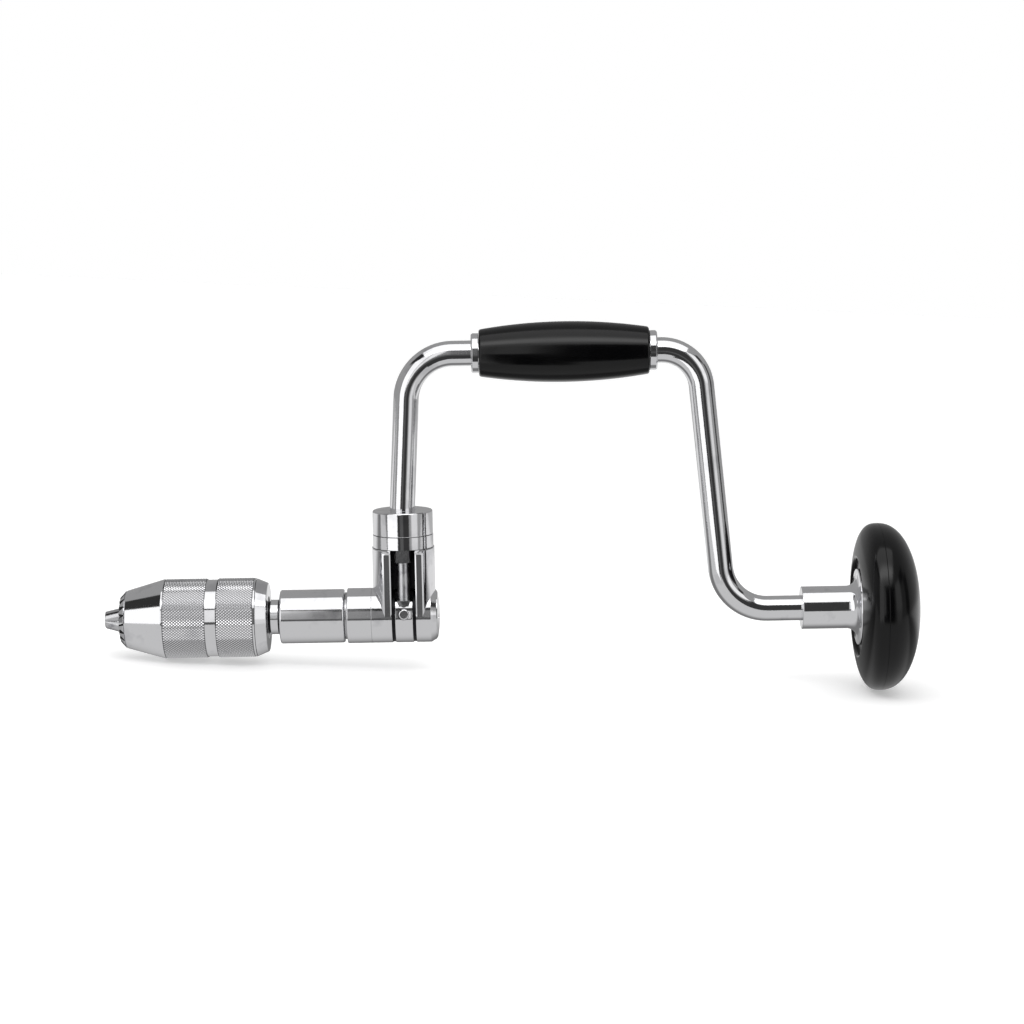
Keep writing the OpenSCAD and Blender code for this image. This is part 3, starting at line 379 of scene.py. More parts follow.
# Outline of a turned piece through corners (x, r, fillet) in mm, walked with the metal on the
# right. A fillet of "curve" marks a point on a curve. Gives points with their outward normals
def softOutline(corners, closed):
    points = []
    last = len(corners) - 1
    for i, (x, r, fillet) in enumerate(corners):
        here = Vector((x, r))
        before = here - Vector(corners[i - 1][:2]) if i or closed else None
        after = Vector(corners[(i + 1) % (last + 1)][:2]) - here if i < last or closed else None
        way0, way1 = (before or after).normalized(), (after or before).normalized()
        side0, side1 = Vector((-way0.y, way0.x)), Vector((-way1.y, way1.x))
        if before is None or after is None:
            points.append((here, Vector((side0.x, 0)).normalized()))
        elif fillet == "curve":
            points.append((here, (side0 + side1).normalized()))
        else:
            turn = abs(way0.angle_signed(way1))
            room = fillets["share"] * min(before.length, after.length)
            reach = min(fillet * math.tan(turn / 2), room)
            steps = 1 if turn < fillets["flatTurn"] else fillets["steps"]
            for k in range(steps + 1):
                t = k / steps
                place = here + (way1 * t ** 2 - way0 * (1 - t) ** 2) * reach
                points.append((place, side0.slerp(side1, t)))
    return points


# Closed mesh through rings of (point, normal) in mm. A ring shrunk to a point is one vertex
def skin(name, rings, closed):
    vertices, normals, starts, faces = [], [], [], []
    for ring in rings:
        shrunk = (ring[0][0] - ring[len(ring) // 2][0]).length < 1e-6
        starts.append((len(vertices), shrunk))
        for point, normal in ring[:1] if shrunk else ring:
            vertices.append(point * mm)
            normals.append(normal)
    count = len(rings[1])
    for (a, aShrunk), (b, bShrunk) in zip(starts, starts[1:] + starts[:1] if closed else starts[1:]):
        for k in range(count):
            j = (k + 1) % count
            if aShrunk:
                faces.append((a, b + j, b + k))
            elif bShrunk:
                faces.append((a + k, a + j, b))
            else:
                faces.append((a + k, a + j, b + j, b + k))
    item = newItem(name, vertices, faces)
    item.data.polygons.foreach_set("use_smooth", [True] * len(faces))
    item.data.normals_split_custom_set_from_vertices(normals)
    return item


def circle(r, count, x=0, y=0):
    return [(x + r * math.cos(2 * math.pi * k / count), y + r * math.sin(2 * math.pi * k / count))
            for k in range(count)]


# Turned piece about the spindle's axis, or about a line parallel to it
def turned(name, corners, height=0, closed=True, around=160):
    rings = []
    for point, normal in softOutline(corners, closed):
        rings.append([(Vector((point.x, point.y * c, height + point.y * s)),
                       Vector((normal.x, normal.y * c, normal.y * s)))
                      for c, s in circle(1, around)])
    return skin(name, rings, closed)


# Turned piece about the column's upright axis: corners are (height, r, fillet)
def stood(name, corners, y=0, closed=True, around=160):
    item = turned(name, corners, 0, closed, around)
    upright = Matrix.Rotation(-math.pi / 2, 4, "Y")
    item.data.transform(Matrix.Translation((columnX * mm, y * mm, 0)) @ upright)
    return item


# Straight block: an outline drawn across an axis, from one place on the axis to another
def block(name, outline, axis, low, high):
    order = {"X": lambda u, v, w: (w, u, v), "Y": lambda u, v, w: (u, -w, v),
             "Z": lambda u, v, w: (u, v, w)}[axis]
    count = len(outline)
    vertices = [Vector(order(u, v, w)) * mm for w in (low, high) for u, v in outline]
    faces = [tuple(range(count))[::-1], tuple(range(count, 2 * count))]
    faces += [(k, (k + 1) % count, (k + 1) % count + count, k + count) for k in range(count)]
    return newItem(name, vertices, faces)


def box(name, low, high):
    (x0, y0, z0), (x1, y1, z1) = low, high
    return block(name, [(x0, y0), (x1, y0), (x1, y1), (x0, y1)], "Z", z0, z1)


# Adds tools to a piece or cuts them out of it, and clears the tools away
def combine(item, operation, tools):
    for tool in tools:
        change = item.modifiers.new("combine", "BOOLEAN")
        change.operation, change.object, change.solver = operation, tool, "EXACT"
    view = bpy.context.evaluated_depsgraph_get()
    mesh = bpy.data.meshes.new_from_object(item.evaluated_get(view))
    item.modifiers.clear()
    item.data = mesh
    for tool in tools:
        bpy.data.objects.remove(tool)


# Vertices closer than weld (mm) join, faces within flat degrees merge, and edges above crease
# degrees stay creased
easing = {"weld": 0.001, "flat": 0.1, "crease": 50}


# Rounds the sharp edges of a built-up piece and shades the rest as one smooth surface
def easeEdges(item, width, angle=20, segments=2):
    mesh = item.data
    for name in ("custom_normal", "sharp_edge", "sharp_face"):
        if name in mesh.attributes:
            mesh.attributes.remove(mesh.attributes[name])
    work = bmesh.new()
    work.from_mesh(mesh)
    bmesh.ops.remove_doubles(work, verts=work.verts, dist=easing["weld"] * mm)
    bmesh.ops.dissolve_limit(work, angle_limit=math.radians(easing["flat"]), verts=work.verts,
                             edges=work.edges)
    sharp = [e for e in work.edges if e.is_manifold and e.calc_face_angle() > math.radians(angle)]
    bmesh.ops.bevel(work, geom=sharp, offset=width * mm, offset_type="OFFSET", segments=segments,
                    profile=0.5, affect="EDGES", clamp_overlap=True)
    work.to_mesh(mesh)
    work.free()
    mesh.polygons.foreach_set("use_smooth", [True] * len(mesh.polygons))
    mesh.set_sharp_from_angle(angle=math.radians(easing["crease"]))
    weighted = item.modifiers.new("faceNormals", "WEIGHTED_NORMAL")
    weighted.keep_sharp = True
    weighted.mode = "FACE_AREA"
    return item


# Two finishes on one piece: the second on the faces that the test picks by centre (mm) and normal
def twoFinishes(item, first, second, picks):
    for material in (first, second):
        item.data.materials.append(material)
    for face in item.data.polygons:
        face.material_index = 1 if picks(face.center / mm, face.normal) else 0
    return item


# What a piece stands for, what it moves with, and its finish if it has none yet
def fit(item, replaced, body, finish=None):
    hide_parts(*replaced)
    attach(item, body)
    if finish:
        item.data.materials.append(finish)


print("stage: bow")

bow = {
    "r": 6, "around": 72, "endFillet": 0.3, "bendStep": 3,
    # corners in the crank plane: x, z, bend radius
    "path": [(columnX, 49.8, 0), (columnX, 52.3, 30), (147.5, gripZ, 22.4), (284.7, gripZ, 19),
             (296.8, 0, 22.4), (352.3, 0, 0)],
    "foot": [(39.7, 3.8, 0.1), (39.7, 5.5, 0.3), (49.9, 5.5, 0.1), (49.9, 3.8, 0.1)],
    "journal": [(352.2, 0, 0), (352.2, 4.5, 0.1), (360.9, 4.5, 0.4), (360.9, 0, 0)],
}


# Bent bar: rings along a route of (centre, way, radius, which end it faces)
def addBow(spec):
    corners = [Vector(p[:2]) for p in spec["path"]]
    ways = [(b - a).normalized() for a, b in zip(corners, corners[1:])]
    r, lip = spec["r"], spec["endFillet"]
    first, last = corners[0], corners[-1]
    route = [(first, ways[0], 0, -1), (first, ways[0], r - lip, -1),
             (first + ways[0] * lip, ways[0], r, 0)]
    for i in range(1, len(corners) - 1):
        turn = -ways[i - 1].angle_signed(ways[i])
        bend = spec["path"][i][2]
        start = corners[i] - ways[i - 1] * bend * math.tan(abs(turn) / 2)
        inward = Vector((-ways[i - 1].y, ways[i - 1].x)) * (1 if turn > 0 else -1)
        steps = max(2, round(math.degrees(abs(turn)) / spec["bendStep"]))
        for k in range(steps + 1):
            spin = Matrix.Rotation(turn * k / steps, 2)
            route.append((start + inward * bend - spin @ inward * bend, spin @ ways[i - 1], r, 0))
    route += [(last - ways[-1] * lip, ways[-1], r, 0), (last, ways[-1], r - lip, 1),
              (last, ways[-1], 0, 1)]
    rings = []
    for centre, way, radius, end in route:
        ring = []
        for c, s in circle(1, spec["around"]):
            out = Vector((-way.y * s, c, way.x * s))
            ring.append((Vector((centre.x, 0, centre.y)) + out * radius,
                         Vector((way.x, 0, way.y)) * end if end else out))
        rings.append(ring)
    return skin("bow", rings, False)


fit(addBow(bow), ["crank"], "frame", plated)
fit(stood("bowFoot", bow["foot"]), ["crank"], "frame", plated)
fit(turned("bowJournal", bow["journal"], closed=False), ["crank"], "frame", plated)

print("stage: chuck")

chuckShell = {
    "core": [(10.2, 12.65, 0.2), (10.2, 13.3, 0.25), (10.9, 13.9, 0.25), (28.4, 18.97, 0.3),
             (29.0, 18.97, 0.1), (29.1, 18.4, 0.1), (49.2, 18.4, 0.1), (54.4, 18.4, 0.1),
             (71.9, 18.4, 0.1), (72.0, 18.85, 0.1), (72.8, 18.7, 0.15), (72.8, 16.8, 0.2),
             (40.0, 16.8, 0.2), (40.0, 14.25, 0.2), (14.0, 14.25, 0.2), (14.0, 12.65, 0.2)],
    "bands": [(29.0, 49.3), (54.3, 72.0)],
    # diamond knurl, drawn a little coarser than the real one so that it shows
    "r": 19, "grooves": 88, "pitch": 1.55, "depth": 0.36, "root": 18.2,
}


# Sleeve of diamond points: crossing V grooves, every facet flat
def addKnurl(name, spec, x0, x1):
    rows = 2 * round((x1 - x0) / spec["pitch"])
    columns = 2 * spec["grooves"]
    rings = [(x0, spec["root"], spec["root"])]
    for i in range(rows + 1):
        high = spec["r"] - (spec["depth"] if i in (0, rows) else 0)
        rings.append((x0 + (x1 - x0) * i / rows, high, spec["r"] - spec["depth"]))
    rings.append((x1, spec["root"], spec["root"]))
    vertices = []
    for i, (x, high, low) in enumerate(rings):
        for j, (c, s) in enumerate(circle(1, columns)):
            r = high if (i + j) % 2 else low
            vertices.append(Vector((x, r * c, r * s)) * mm)
    faces = []
    for i in range(len(rings)):
        for j in range(columns):
            a, b = i * columns + j, i * columns + (j + 1) % columns
            n = (i + 1) % len(rings) * columns
            c, d = n + (j + 1) % columns, n + j
            faces += [(a, b, d), (b, c, d)] if (i + j) % 2 else [(a, b, c), (a, c, d)]
    return newItem(name, vertices, faces)


fit(turned("shellCore", chuckShell["core"], around=200), ["chuck_shell"], "chuck_shell",
    turnedPlate)
for name, band in zip(("knurlFront", "knurlRear"), chuckShell["bands"]):
    fit(addKnurl(name, chuckShell, *band), ["chuck_shell"], "chuck_shell", knurled)

chuckTurned = {
    "rearCollar": [(66.0, 8.6, 0.2), (66.0, 16.75, 0.3), (72.85, 16.75, 0.1), (73.0, 18.6, 0.2),
                   (78.0, 16.5, 0.3), (78.3, 16.1, 0.3), (78.3, 10.0, 0.3), (76.9, 8.6, 0.3)],
    "toothedRing": [(7.6, 9.6, 0.15), (7.6, 11.0, 0.2), (10.0, 13.6, 0.2), (10.15, 13.6, 0.05),
                    (10.15, 12.6, 0.05), (14.0, 12.6, 0.2), (14.0, 9.6, 0.2)],
    # V cutters of the key gaps: their foot (x, r), lean and half angle, height and run
    "keyGaps": 20, "gapFoot": (7.6, 8.9), "gapLean": 58, "gapHalf": 49, "gapHigh": 8, "gapRun": (-6, 12),
    # faces that look this far sideways are the flanks of the teeth
    "gapEase": 0.08, "flank": 0.35,
}
fit(turned("rearCollar", chuckTurned["rearCollar"]), ["rear_collar"], "chuck_shell",
    turnedPlate)


# Teeth for the chuck key: V gaps, wide at the front and run out at the back, with painted shade on their
# flanks
def addToothedRing(spec):
    ring = turned("toothedRing", spec["toothedRing"], around=240)
    x0, r0 = spec["gapFoot"]
    tools = []
    high = spec["gapHigh"]
    wide = high * math.tan(math.radians(spec["gapHalf"]))
    for k in range(spec["keyGaps"]):
        tool = block("keyGap", [(0, 0), (wide, high), (-wide, high)], "X", *spec["gapRun"])
        lean = Matrix.Translation((x0 * mm, 0, r0 * mm)) @ \
            Matrix.Rotation(-math.radians(spec["gapLean"]), 4, "Y")
        tool.data.transform(Matrix.Rotation(2 * math.pi * k / spec["keyGaps"], 4, "X") @ lean)
        tools.append(tool)
    combine(ring, "DIFFERENCE", tools)
    easeEdges(ring, spec["gapEase"], 25)

    def isFlank(centre, normal):
        sideways = abs(normal.z * centre.y - normal.y * centre.z) / math.hypot(centre.y, centre.z)
        return sideways > spec["flank"]

    return twoFinishes(ring, turnedPlate, slotShade, isFlank)


fit(addToothedRing(chuckTurned), ["toothed_ring"], "chuck_shell")

print("stage: spindle and housing")

spindleTurned = {
    "spindle": [(45.0, 0, 0), (45.0, 6.0, 0.5), (64.0, 6.0, 0.1), (64.0, 8.3, 0.3), (78.2, 8.3, 0.1),
                (78.4, 7.6, 0.1), (79.3, 7.6, 0.1), (79.5, 8.3, 0.1), (83.0, 8.3, 0.1),
                (83.2, 7.6, 0.1), (83.9, 7.6, 0.1), (83.9, 12.85, 1.1), (114.8, 12.85, 1.1),
                (114.8, 7.0, 0.2), (139.2, 7.0, 0.2), (139.2, 5.6, 0.1), (148.5, 5.6, 0.1),
                (148.5, 5.2, 0.1), (156.2, 5.2, 0.1), (156.2, 4.2, 0.1), (158.9, 4.2, 0.3),
                (158.9, 0, 0)],
    # painted shade in the two undercuts of the neck: between these places, inside this radius
    "paintedShadeX": (78, 83.95), "paintedShadeR": 8.1,
    "thrustWasher": [(114.95, 7.3, 0.1), (114.95, 11.2, 0.25), (116.1, 11.2, 0.25), (116.1, 7.3, 0.1)],
    "frontRing": [(116.1, 7.3, 0.2), (116.1, 13.2, 0.5), (127.75, 13.2, 0.12), (127.75, 10.65, 0.1),
                  (118.3, 10.65, 0.1), (118.3, 7.3, 0.1)],
}


def addSpindle(spec):
    x0, x1 = spec["paintedShadeX"]
    return twoFinishes(turned("spindleBar", spec["spindle"], closed=False), turnedPlate, slotShade,
                       lambda at, normal: x0 < at.x < x1 and math.hypot(at.y, at.z) < spec["paintedShadeR"])


fit(addSpindle(spindleTurned), ["spindle"], "spindle")
fit(turned("thrustWasher", spindleTurned["thrustWasher"]), ["thrust_washer"], "frame",
    bareSteel)
fit(turned("frontRing", spindleTurned["frontRing"]), ["front_ring"], "frame",
    turnedPlate)

endCap = {
    "r": 11, "low": 156.3, "top": 160.2, "rise": 1.0, "steps": 12, "bore": 4.25, "boreEnd": 158.92,
    "holeR": 1.1, "holeY": 6.6, "holeFloor": 159.1, "ease": 0.12,
}


def addEndCap(spec):
    ball = (spec["r"] ** 2 + spec["rise"] ** 2) / (2 * spec["rise"])
    steps = spec["steps"]
    dome = []
    for k in range(steps, -1, -1):
        r = spec["r"] * k / steps
        x = spec["top"] - ball + math.sqrt(ball ** 2 - r ** 2)
        dome.append((x, r, "curve" if 0 < k < steps else 0.25))
    corners = [(spec["boreEnd"], 0, 0), (spec["boreEnd"], spec["bore"], 0.05),
               (spec["low"], spec["bore"], 0.05), (spec["low"], spec["r"], 0.2)] + dome
    cap = turned("endCap", corners, closed=False)
    tools = [block("spannerHole", circle(spec["holeR"], 32, side * spec["holeY"]), "X",
                   spec["holeFloor"], spec["top"] + 1) for side in (-1, 1)]
    combine(cap, "DIFFERENCE", tools)
    return easeEdges(cap, spec["ease"], 25)


fit(addEndCap(endCap), ["end_cap"], "spindle", plated)

yoke = {
    # the forging below its turned top is an oval, deeper than wide, cut flat in front and behind
    "columnR": 14.9, "columnTop": 33.1, "oval": (14.8, 17.0), "ovalTop": 32.7,
    # the flats end in a round-cornered arch, with a ledge round it and lean facets beside it
    "flatY": 13.15, "flatHalf": 10.5, "flatTop": 31.8, "flatCorner": 2.5, "cornerSteps": 8,
    "ledge": 0.9, "millDeep": 8, "facetTurn": 24, "facetY": 15.66,
    # bright bevels along the slot: width, lean, and how far below the arch they end
    "edgeWidth": 0.6, "edgeLean": 20, "edgeDrop": 0.6,
    "boss": [(118.4, 0, 0), (118.4, 10.6, 0.2), (127.8, 10.6, 0.1), (127.8, 13.2, 0.15),
             (156.1, 13.2, 0.2), (158.8, 11.6, 0.2), (158.8, 0, 0)],
    "slot": (137.6, 149.2), "slotFloor": 13.6, "webHalf": 5.2, "tongue": (139.0, 147.8, 2, 11.0),
    "frontBore": 9.1, "rearBore": 7.3, "boreEnds": (110, 165), "capRecess": (156.0, 11.3),
    "neck": (39.6, 5), "tenon": (50.2, 3.75), "ease": 0.32,
    # painted shade inside the slot, with a margin beside it. The skin of the flats and of the boss stays
    # bright
    "paintedShadeX": 0.16, "paintedShadeY": 0.4, "bossR": 12.8, "bossTop": 13.3,
    # cutters reach this far, past every surface
    "past": 20,
}


# Everything that shapes one side of the forging: the flat, its facets and the slot's bevels
def flatCutters(spec):
    half, corner, high, past = spec["flatHalf"], spec["flatCorner"], spec["flatTop"], spec["past"]
    steps, y = spec["cornerSteps"], spec["flatY"]
    turns = [math.radians(90 * t / steps) for t in range(steps + 1)]
    arch = [(columnX + half, -past)]
    arch += [(columnX + half - corner + corner * math.cos(a), high - corner + corner * math.sin(a))
             for a in turns]
    arch += [(columnX - half + corner - corner * math.sin(a), high - corner + corner * math.cos(a))
             for a in turns]
    arch += [(columnX - half, -past)]
    mill = block("flatMill", arch, "Y", y, y + spec["millDeep"])
    easeEdges(mill, spec["ledge"], 60, 4)
    mill.modifiers.clear()
    facet = [(-past, -30), (past, -30), (past, -spec["facetY"]), (-past, -spec["facetY"])]
    facets = [block("facetMill", facet, "Z", -1, high) for turn in (1, -1)]
    for tool, turn in zip(facets, (1, -1)):
        spin = Matrix.Rotation(math.radians(turn * spec["facetTurn"]), 4, "Z")
        tool.data.transform(Matrix.Translation((columnX * mm, 0, 0)) @ spin)
    width, rise = spec["edgeWidth"], math.tan(math.radians(spec["edgeLean"]))
    edges = []
    for edge, sign in zip(spec["slot"], (1, -1)):
        near, far = edge - sign * width, edge + sign
        wedge = [(near, -y), (far, -y + (width + 1) * rise), (far, -y - 1), (near, -y - 1)]
        edges.append(block("edgeMill", wedge[::-sign], "Z", -1, high - spec["edgeDrop"]))
    return [mill] + facets + edges


def addYoke(spec):
    top, past = spec["columnTop"], spec["past"]
    body = block("yokeForging", circle(spec["columnR"], 180, columnX), "Z", 0, top)
    ovalX, ovalY = spec["oval"]
    oval = [(x, y * ovalY / ovalX) for x, y in circle(ovalX, 174, columnX)]
    combine(body, "UNION", [block("oval", oval, "Z", 0, spec["ovalTop"])])
    front, back = flatCutters(spec), flatCutters(spec)
    for tool in back:
        tool.data.transform(halfTurn)
    combine(body, "DIFFERENCE", front + back)
    combine(body, "UNION", [turned("boss", spec["boss"], closed=False, around=180)])
    x0, x1 = spec["slot"]
    web, floor = spec["webHalf"], spec["slotFloor"]
    recessX, recessR = spec["capRecess"]
    boreLow, boreHigh = spec["boreEnds"]
    tools = [box("slot", (x0, -past, -past), (x1, past, floor)),
             box("slot", (x0, web, floor - 1), (x1, past, top + 1)),
             box("slot", (x0, -past, floor - 1), (x1, -web, top + 1)),
             block("bore", circle(spec["frontBore"], 96), "X", boreLow, x0 + 1),
             block("bore", circle(spec["rearBore"], 96), "X", x1 - 1, recessX + 1),
             block("bore", circle(recessR, 96), "X", recessX, boreHigh)]
    combine(body, "DIFFERENCE", tools)
    t0, t1, side, low = spec["tongue"]
    tools = [box("tongue", (t0, -side, low), (t1, side, floor + 0.5)),
             block("neck", circle(spec["neck"][1], 64, columnX), "Z", top - 0.5, spec["neck"][0]),
             block("tenon", circle(spec["tenon"][1], 64, columnX), "Z", top - 0.5, spec["tenon"][0])]
    combine(body, "UNION", tools)
    easeEdges(body, spec["ease"], 15)

    def inSlotShade(at, normal):
        inside = x0 - spec["paintedShadeX"] < at.x < x1 + spec["paintedShadeX"] and abs(at.y) < spec["flatY"] - spec["paintedShadeY"]
        return inside and (at.z >= spec["bossTop"] or math.hypot(at.y, at.z) <= spec["bossR"])

    return twoFinishes(body, plated, slotShade, inSlotShade)


fit(addYoke(yoke), ["yoke"], "frame")

pawlRing = {
    "outline": [(139.0, 9.65, 0.1), (139.0, 12.8, 0.1), (139.4, 13.2, 0.1), (147.4, 13.2, 0.1),
                (147.8, 12.8, 0.1), (147.8, 9.65, 0.1)],
    "boreR": 3.3, "boreY": 8.7, "boreLow": 2.6, "tongueHalf": 2.05, "tongueLow": 10.95, "top": 15,
    # the oil hole in front (depth along Y, radius) is closed by a low plug with a rounded edge
    "oilZ": 2.3, "oilHole": [(8, 0, 0), (8, 2.6, 0.05), (13.9, 2.6, 0.05), (13.9, 0, 0)],
    "plug": [(9, 0, 0), (9, 2.55, 0.05), (13.2, 2.55, 0.7), (13.2, 0, 0)],
    # the ring is cut down in front of the pawl's nose, and painted in shade from there up
    "relief": ((137, -20, 8.1), (150, -5.2, 20)), "ease": 0.15, "shadeLow": 8.15,
    # shoulders painted in shade fill most of the gaps beside the ring
    "shoulders": {
        "shoulderFront": [(137.7, 9.65, 0.1), (137.7, 12.75, 0.2), (139.02, 12.75, 0.1),
                          (139.02, 9.65, 0.1)],
        "shoulderRear": [(147.78, 9.65, 0.1), (147.78, 12.75, 0.2), (149.1, 12.75, 0.1),
                         (149.1, 9.65, 0.1)],
    },
}


# Turned about a level line through the column's axis, towards the front
def facing(name, corners, z):
    item = turned(name, corners, closed=False, around=64)
    item.data.transform(Matrix.Translation((columnX * mm, 0, z * mm))
                        @ Matrix.Rotation(-math.pi / 2, 4, "Z"))
    return item


def addPawlRing(spec):
    ring = turned("pawlRing", spec["outline"], around=180)
    half, low, top = spec["tongueHalf"], spec["tongueLow"], spec["top"]
    tools = [facing("oilHole", spec["oilHole"], spec["oilZ"]),
             box("tongueRoom", (135, -half, low), (152, half, top)), box("relief", *spec["relief"])]
    tools += [block("pawlBore", circle(spec["boreR"], 64, columnX, side * spec["boreY"]), "Z",
                    spec["boreLow"], top) for side in (-1, 1)]
    combine(ring, "DIFFERENCE", tools)
    easeEdges(ring, spec["ease"], 20)
    return twoFinishes(ring, plated, slotShade, lambda at, normal: at.z > spec["shadeLow"])


fit(addPawlRing(pawlRing), ["pawl_ring"], "frame")
fit(facing("oilPlug", pawlRing["plug"], pawlRing["oilZ"]), ["pawl_ring"], "frame", plated)
for name, corners in pawlRing["shoulders"].items():
    fit(turned(name, corners), ["pawl_ring"], "frame", slotShade)

pawl = {
    "post": [(8.6, 0, 0), (8.6, 3.1, 0.1), (27.0, 3.1, 0.5), (27.0, 4.55, 0.35), (33.0, 4.4, 0.35),
             (33.0, 1.5, 0.1), (37.6, 1.5, 0.1), (37.6, 2.7, 0.1), (38.6, 2.7, 0.1), (38.6, 1.3, 0.1),
             (45.8, 1.3, 0.2), (45.8, 0, 0)],
    "y": 8.7, "nose": [(-1.5, 3.2), (1.5, 3.2), (3.05, 8.7), (-3.05, 8.7)], "noseY": (7.7, 11.75),
    # the head's front is milled flat. It and the front of the nose are polished
    "mill": ((130, -20, 0), (156, -11.85, 50)), "polishedY": -11.7, "ease": 0.15,
}


def addPawl(name, spec, lift, side):
    post = stood(name, spec["post"], -spec["y"], closed=False, around=96)
    nose = block("nose", [(columnX + x, z) for x, z in spec["nose"]], "Y", *spec["noseY"])
    combine(post, "UNION", [nose])
    combine(post, "DIFFERENCE", [box("mill", *spec["mill"])])
    easeEdges(post, spec["ease"], 25)
    twoFinishes(post, steelSatin, steelPolished,
                lambda at, normal: at.y < spec["polishedY"] and normal.y < -0.9999)
    raised = Matrix.Translation((0, 0, lift * mm))
    post.data.transform(raised @ (halfTurn if side else Matrix.Identity(4)))
    return post


fit(addPawl("frontPawl", pawl, 0, 0), ["front_pawl"], "front_pawl")
fit(addPawl("rearPawl", pawl, 2.6, 1), ["rear_pawl"], "rear_pawl")

socketCap = {
    "outline": [(50.8, 6.1, 0.15), (50.8, 14.3, 0.75), (39.4, 14.3, 0.25), (39.4, 12.2, 0.2),
                (43.4, 12.2, 0.2), (43.4, 5.55, 0.1), (49.8, 5.55, 0.05), (49.8, 6.1, 0.05)],
    "springY": 8.7, "springR": 2.55, "springZ": (43, 48.8), "ease": 0.1,
}


def addSocketCap(spec):
    cap = stood("socketCap", spec["outline"][::-1])
    tools = [block("springRoom", circle(spec["springR"], 48, columnX, side * spec["springY"]), "Z",
                   *spec["springZ"]) for side in (-1, 1)]
    combine(cap, "DIFFERENCE", tools)
    return easeEdges(cap, spec["ease"], 40)


fit(addSocketCap(socketCap), ["socket_cap"], "frame", plated)

print("stage: grip and head")

# Collars at the ends of the grip, bevelled on the side away from it
ferrules = {
    "ferruleLeft": [(177.5, 6.03, 0.1), (177.5, 8.65, 0.2), (178.2, 9.35, 0.2), (181.0, 9.35, 0.2),
                    (181.0, 6.03, 0.1)],
    "ferruleRight": [(261.9, 6.03, 0.1), (261.9, 9.35, 0.2), (264.7, 9.35, 0.2), (265.4, 8.65, 0.2),
                     (265.4, 6.03, 0.1)],
}
fit(turned("ferruleLeft", ferrules["ferruleLeft"], gripZ), ["ferrule_left"], "frame",
    turnedPlate)
fit(turned("ferruleRight", ferrules["ferruleRight"], gripZ), ["ferrule_right"], "frame",
    turnedPlate)

grip = {"x": (181.2, 261.7), "midR": 14.34, "endR": 11.1, "round": 1.3, "bore": 7.2, "bushR": 8.03,
        "bushLen": 9, "steps": 24}


def addGrip(spec):
    x0, x1 = spec["x"]
    half = (x1 - x0) / 2
    rise = spec["midR"] - spec["endR"]
    ball = (half ** 2 + rise ** 2) / (2 * rise)
    belly = []
    for k in range(spec["steps"] + 1):
        x = x0 + 2 * half * k / spec["steps"]
        r = spec["midR"] - ball + math.sqrt(ball ** 2 - (x - x0 - half) ** 2)
        belly.append((x, r, "curve" if 0 < k < spec["steps"] else spec["round"]))
    bush, deep = spec["bushR"], spec["bushLen"]
    inner = [(x1, bush, 0.2), (x1 - deep, bush, 0.1), (x1 - deep, spec["bore"], 0.1),
             (x0 + deep, spec["bore"], 0.1), (x0 + deep, bush, 0.1), (x0, bush, 0.2)]
    return turned("gripBarrel", belly + inner, gripZ)


fit(addGrip(grip), ["grip"], "grip", blackPlastic)

head = {
    "seam": 370.4, "seamGap": 0.02, "seamEdge": 0.22, "r": 40, "innerDepth": 11.5, "innerPower": 2.9,
    "outerDepth": 18.9, "outerPower": 2.25, "steps": 30,
    # recess for the hub's flange, and the round lip at its rim
    "seat": 361.7, "recessR": 23, "lipR": 1.5, "lipTurn": 110, "lipSteps": 10,
    "floor": 366.7, "insideR": 35, "wall": 4, "plateR": 8.85, "postR": 8.7, "postEnd": 364.9,
}


# Part of a superellipse, flatter than a circle for powers above 2
def domePoints(spec, start, r, depth, power, fromTurn, toTurn):
    points = []
    for k in range(spec["steps"] + 1):
        a = math.radians(fromTurn + (toTurn - fromTurn) * k / spec["steps"])
        x = start + depth * math.sin(a) ** (2 / power)
        points.append((x, r * math.cos(a) ** (2 / power), "curve"))
    return points


def addHeadInner(spec):
    r, power, lipR = spec["r"], spec["innerPower"], spec["lipR"]
    lipAxisR = spec["recessR"] + lipR
    rise = (1 - (lipAxisR / r) ** power) ** (1 / power)
    lipX = spec["seam"] - spec["innerDepth"] * rise + lipR
    steps = spec["lipSteps"]
    turns = [math.radians(180 + spec["lipTurn"] * k / steps) for k in range(1, steps + 1)]
    lip = [(lipX + lipR * math.sin(a), lipAxisR + lipR * math.cos(a), "curve") for a in turns]
    # the dome starts a little inside the lip's outer edge
    startTurn = math.degrees(math.acos(((lipAxisR + 0.6 * lipR) / r) ** (power / 2)))
    dome = domePoints(spec, spec["seam"], r, -spec["innerDepth"], power, startTurn, 0)
    dome[-1] = (spec["seam"], r, spec["seamEdge"])
    corners = [(spec["floor"], spec["plateR"], 0.1), (spec["seat"], spec["plateR"], 0.1),
               (spec["seat"], spec["recessR"], 0.5), (lipX, spec["recessR"], "curve")] + lip + dome
    corners += [(spec["seam"], spec["insideR"], 0.1), (spec["floor"], spec["insideR"], 0.3)]
    return turned("headInner", corners, around=200)


def addHeadOuter(spec):
    start = spec["seam"] + spec["seamGap"]
    dome = domePoints(spec, start, spec["r"], spec["outerDepth"], spec["outerPower"], 0, 90)
    dome[0] = (start, spec["r"], spec["seamEdge"])
    dome[-1] = (start + spec["outerDepth"], 0, 0)
    hollow = domePoints(spec, start, spec["insideR"], spec["outerDepth"] - spec["wall"],
                        spec["outerPower"], 90, 0)
    hollow = [p for p in hollow if p[1] > spec["postR"] + 0.5]
    hollow[-1] = (start, spec["insideR"], 0.1)
    postTop = hollow[0][0]
    corners = [(spec["postEnd"], 0, 0), (spec["postEnd"], spec["postR"], 0.2),
               (postTop, spec["postR"], 0.1)] + hollow + dome
    return turned("headOuter", corners, closed=False, around=200)


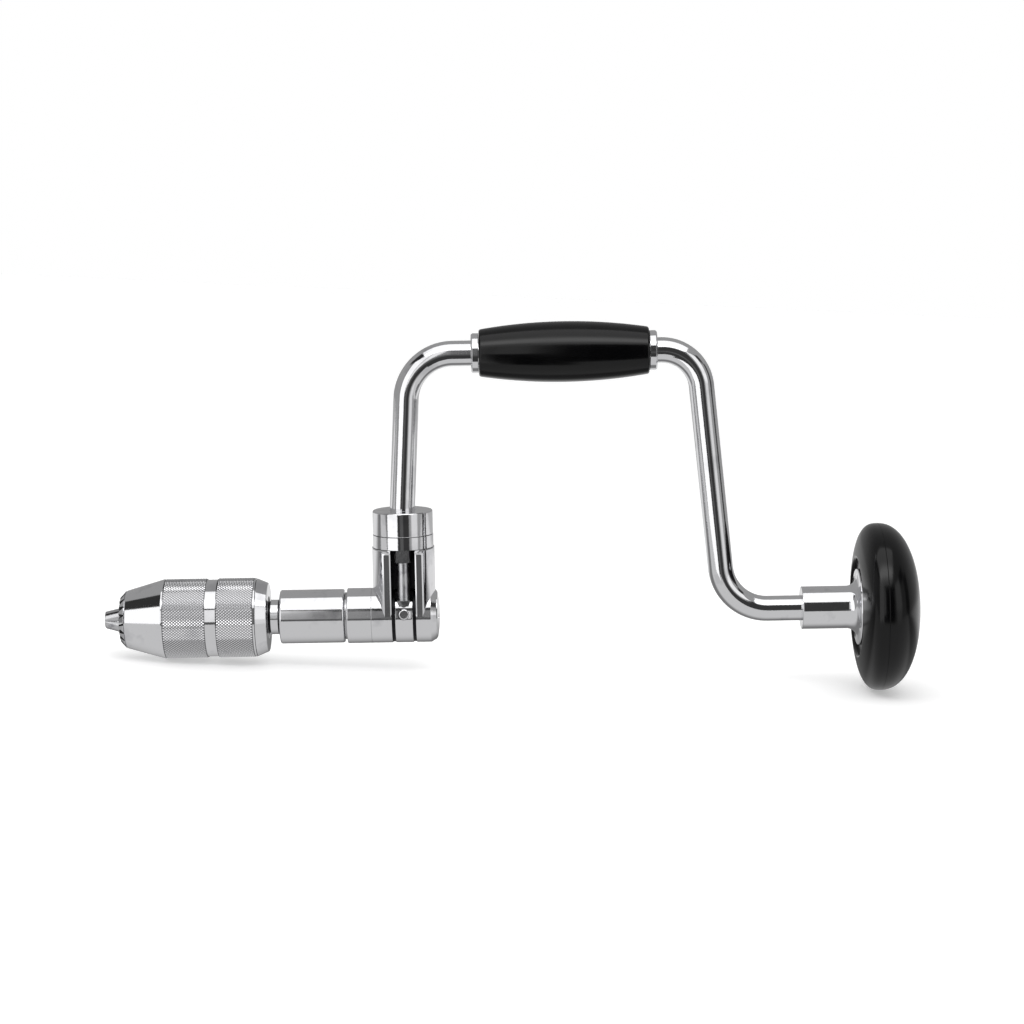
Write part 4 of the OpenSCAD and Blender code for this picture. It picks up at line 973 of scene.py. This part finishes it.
hub = {
    "front": 333.4, "r": 10.2, "bore": 6.05, "corner": 0.4, "rim": 360.2, "rimR": 18.3, "seat": 361.7,
    "pocket": (352.1, 9),
    # the flare's curve: centre (x, r), radius and degrees
    "flare": (354.9, 15.4, 5.2), "flareTurn": 72, "steps": 10,
    # three screws: circle that they stand on, radii and ends, and the room that trims their heads
    "screws": 3, "screwTurnR": 14.6, "screwHeadR": 2.5, "screwHeadX": (355.0, 361.0),
    "shankR": 1.5, "shankX": (360.8, 373.7), "roomX": (356.0, 374.7), "roomR": 8, "roomGrow": 0.03,
}


# Flare of the sleeve's flange. The screw heads are filed down flush with it
def hubOutline(spec, grow):
    x, r, flare = spec["flare"]
    turns = [math.radians(180 - spec["flareTurn"] * k / spec["steps"]) for k in range(spec["steps"] + 1)]
    curve = [(x + flare * math.sin(a) - grow, r + flare * math.cos(a), "curve") for a in turns]
    return curve + [(spec["rim"] - grow, spec["rimR"] - 0.2, 0.2), (spec["rim"] + 0.4, spec["rimR"], 0.2)]


def addHub(spec):
    deep, pocketR = spec["pocket"]
    front, bore = spec["front"], spec["bore"]
    corners = [(front, bore, 0.1), (front, spec["r"], spec["corner"])] + hubOutline(spec, 0)
    corners += [(spec["seat"], spec["rimR"], 0.1), (spec["seat"], pocketR, 0.1), (deep, pocketR, 0.1),
                (deep, bore, 0.1)]
    return turned("hubSleeve", corners, around=200)


def addHubScrews(spec):
    screws = []
    for k in range(spec["screws"]):
        screw = block("hubScrew", circle(spec["screwHeadR"], 32), "X", *spec["screwHeadX"])
        combine(screw, "UNION", [block("shank", circle(spec["shankR"], 24), "X", *spec["shankX"])])
        lift = Matrix.Translation((0, 0, spec["screwTurnR"] * mm))
        screw.data.transform(Matrix.Rotation(2 * math.pi * k / spec["screws"], 4, "X") @ lift)
        screws.append(screw)
    combine(screws[0], "UNION", screws[1:])
    (low, high), inner = spec["roomX"], spec["roomR"]
    room = hubOutline(spec, spec["roomGrow"])
    room += [(high, spec["rimR"], 0.1), (high, inner, 0.1), (low, inner, 0.1)]
    combine(screws[0], "INTERSECT", [turned("room", room, around=200)])
    return easeEdges(screws[0], 0.05, 40)


fit(addHub(hub), ["head_hub"], "head", turnedPlate)
fit(addHubScrews(hub), ["head_screws"], "head", plated)
fit(addHeadInner(head), ["head_inner"], "head", blackPlastic)
fit(addHeadOuter(head), ["head_outer"], "head", blackPlastic)

# Pieces that keep their own mesh: only the finish is set
nodeFinishes = {
    plated: ["selector_ring"],
    steelPolished: ["jaw_1", "jaw_2", "jaw_3", "cross_pin", "thrust_balls", "chuck_body"],
    bareSteel: ["head_nut", "head_race", "pawl_spring_front", "pawl_spring_rear", "ratchet_wheel",
                "drive_key", "wheel_clip", "nut_half_upper", "nut_half_lower", "nut_washer",
                "thrust_plate"],
    bronze: ["front_bush", "rear_bush", "ball_cage"],
    nylon: ["grip_bush_left", "grip_bush_right"],
}
for material, names in nodeFinishes.items():
    for name in names:
        nodes[name].data.materials.clear()
        nodes[name].data.materials.append(material)
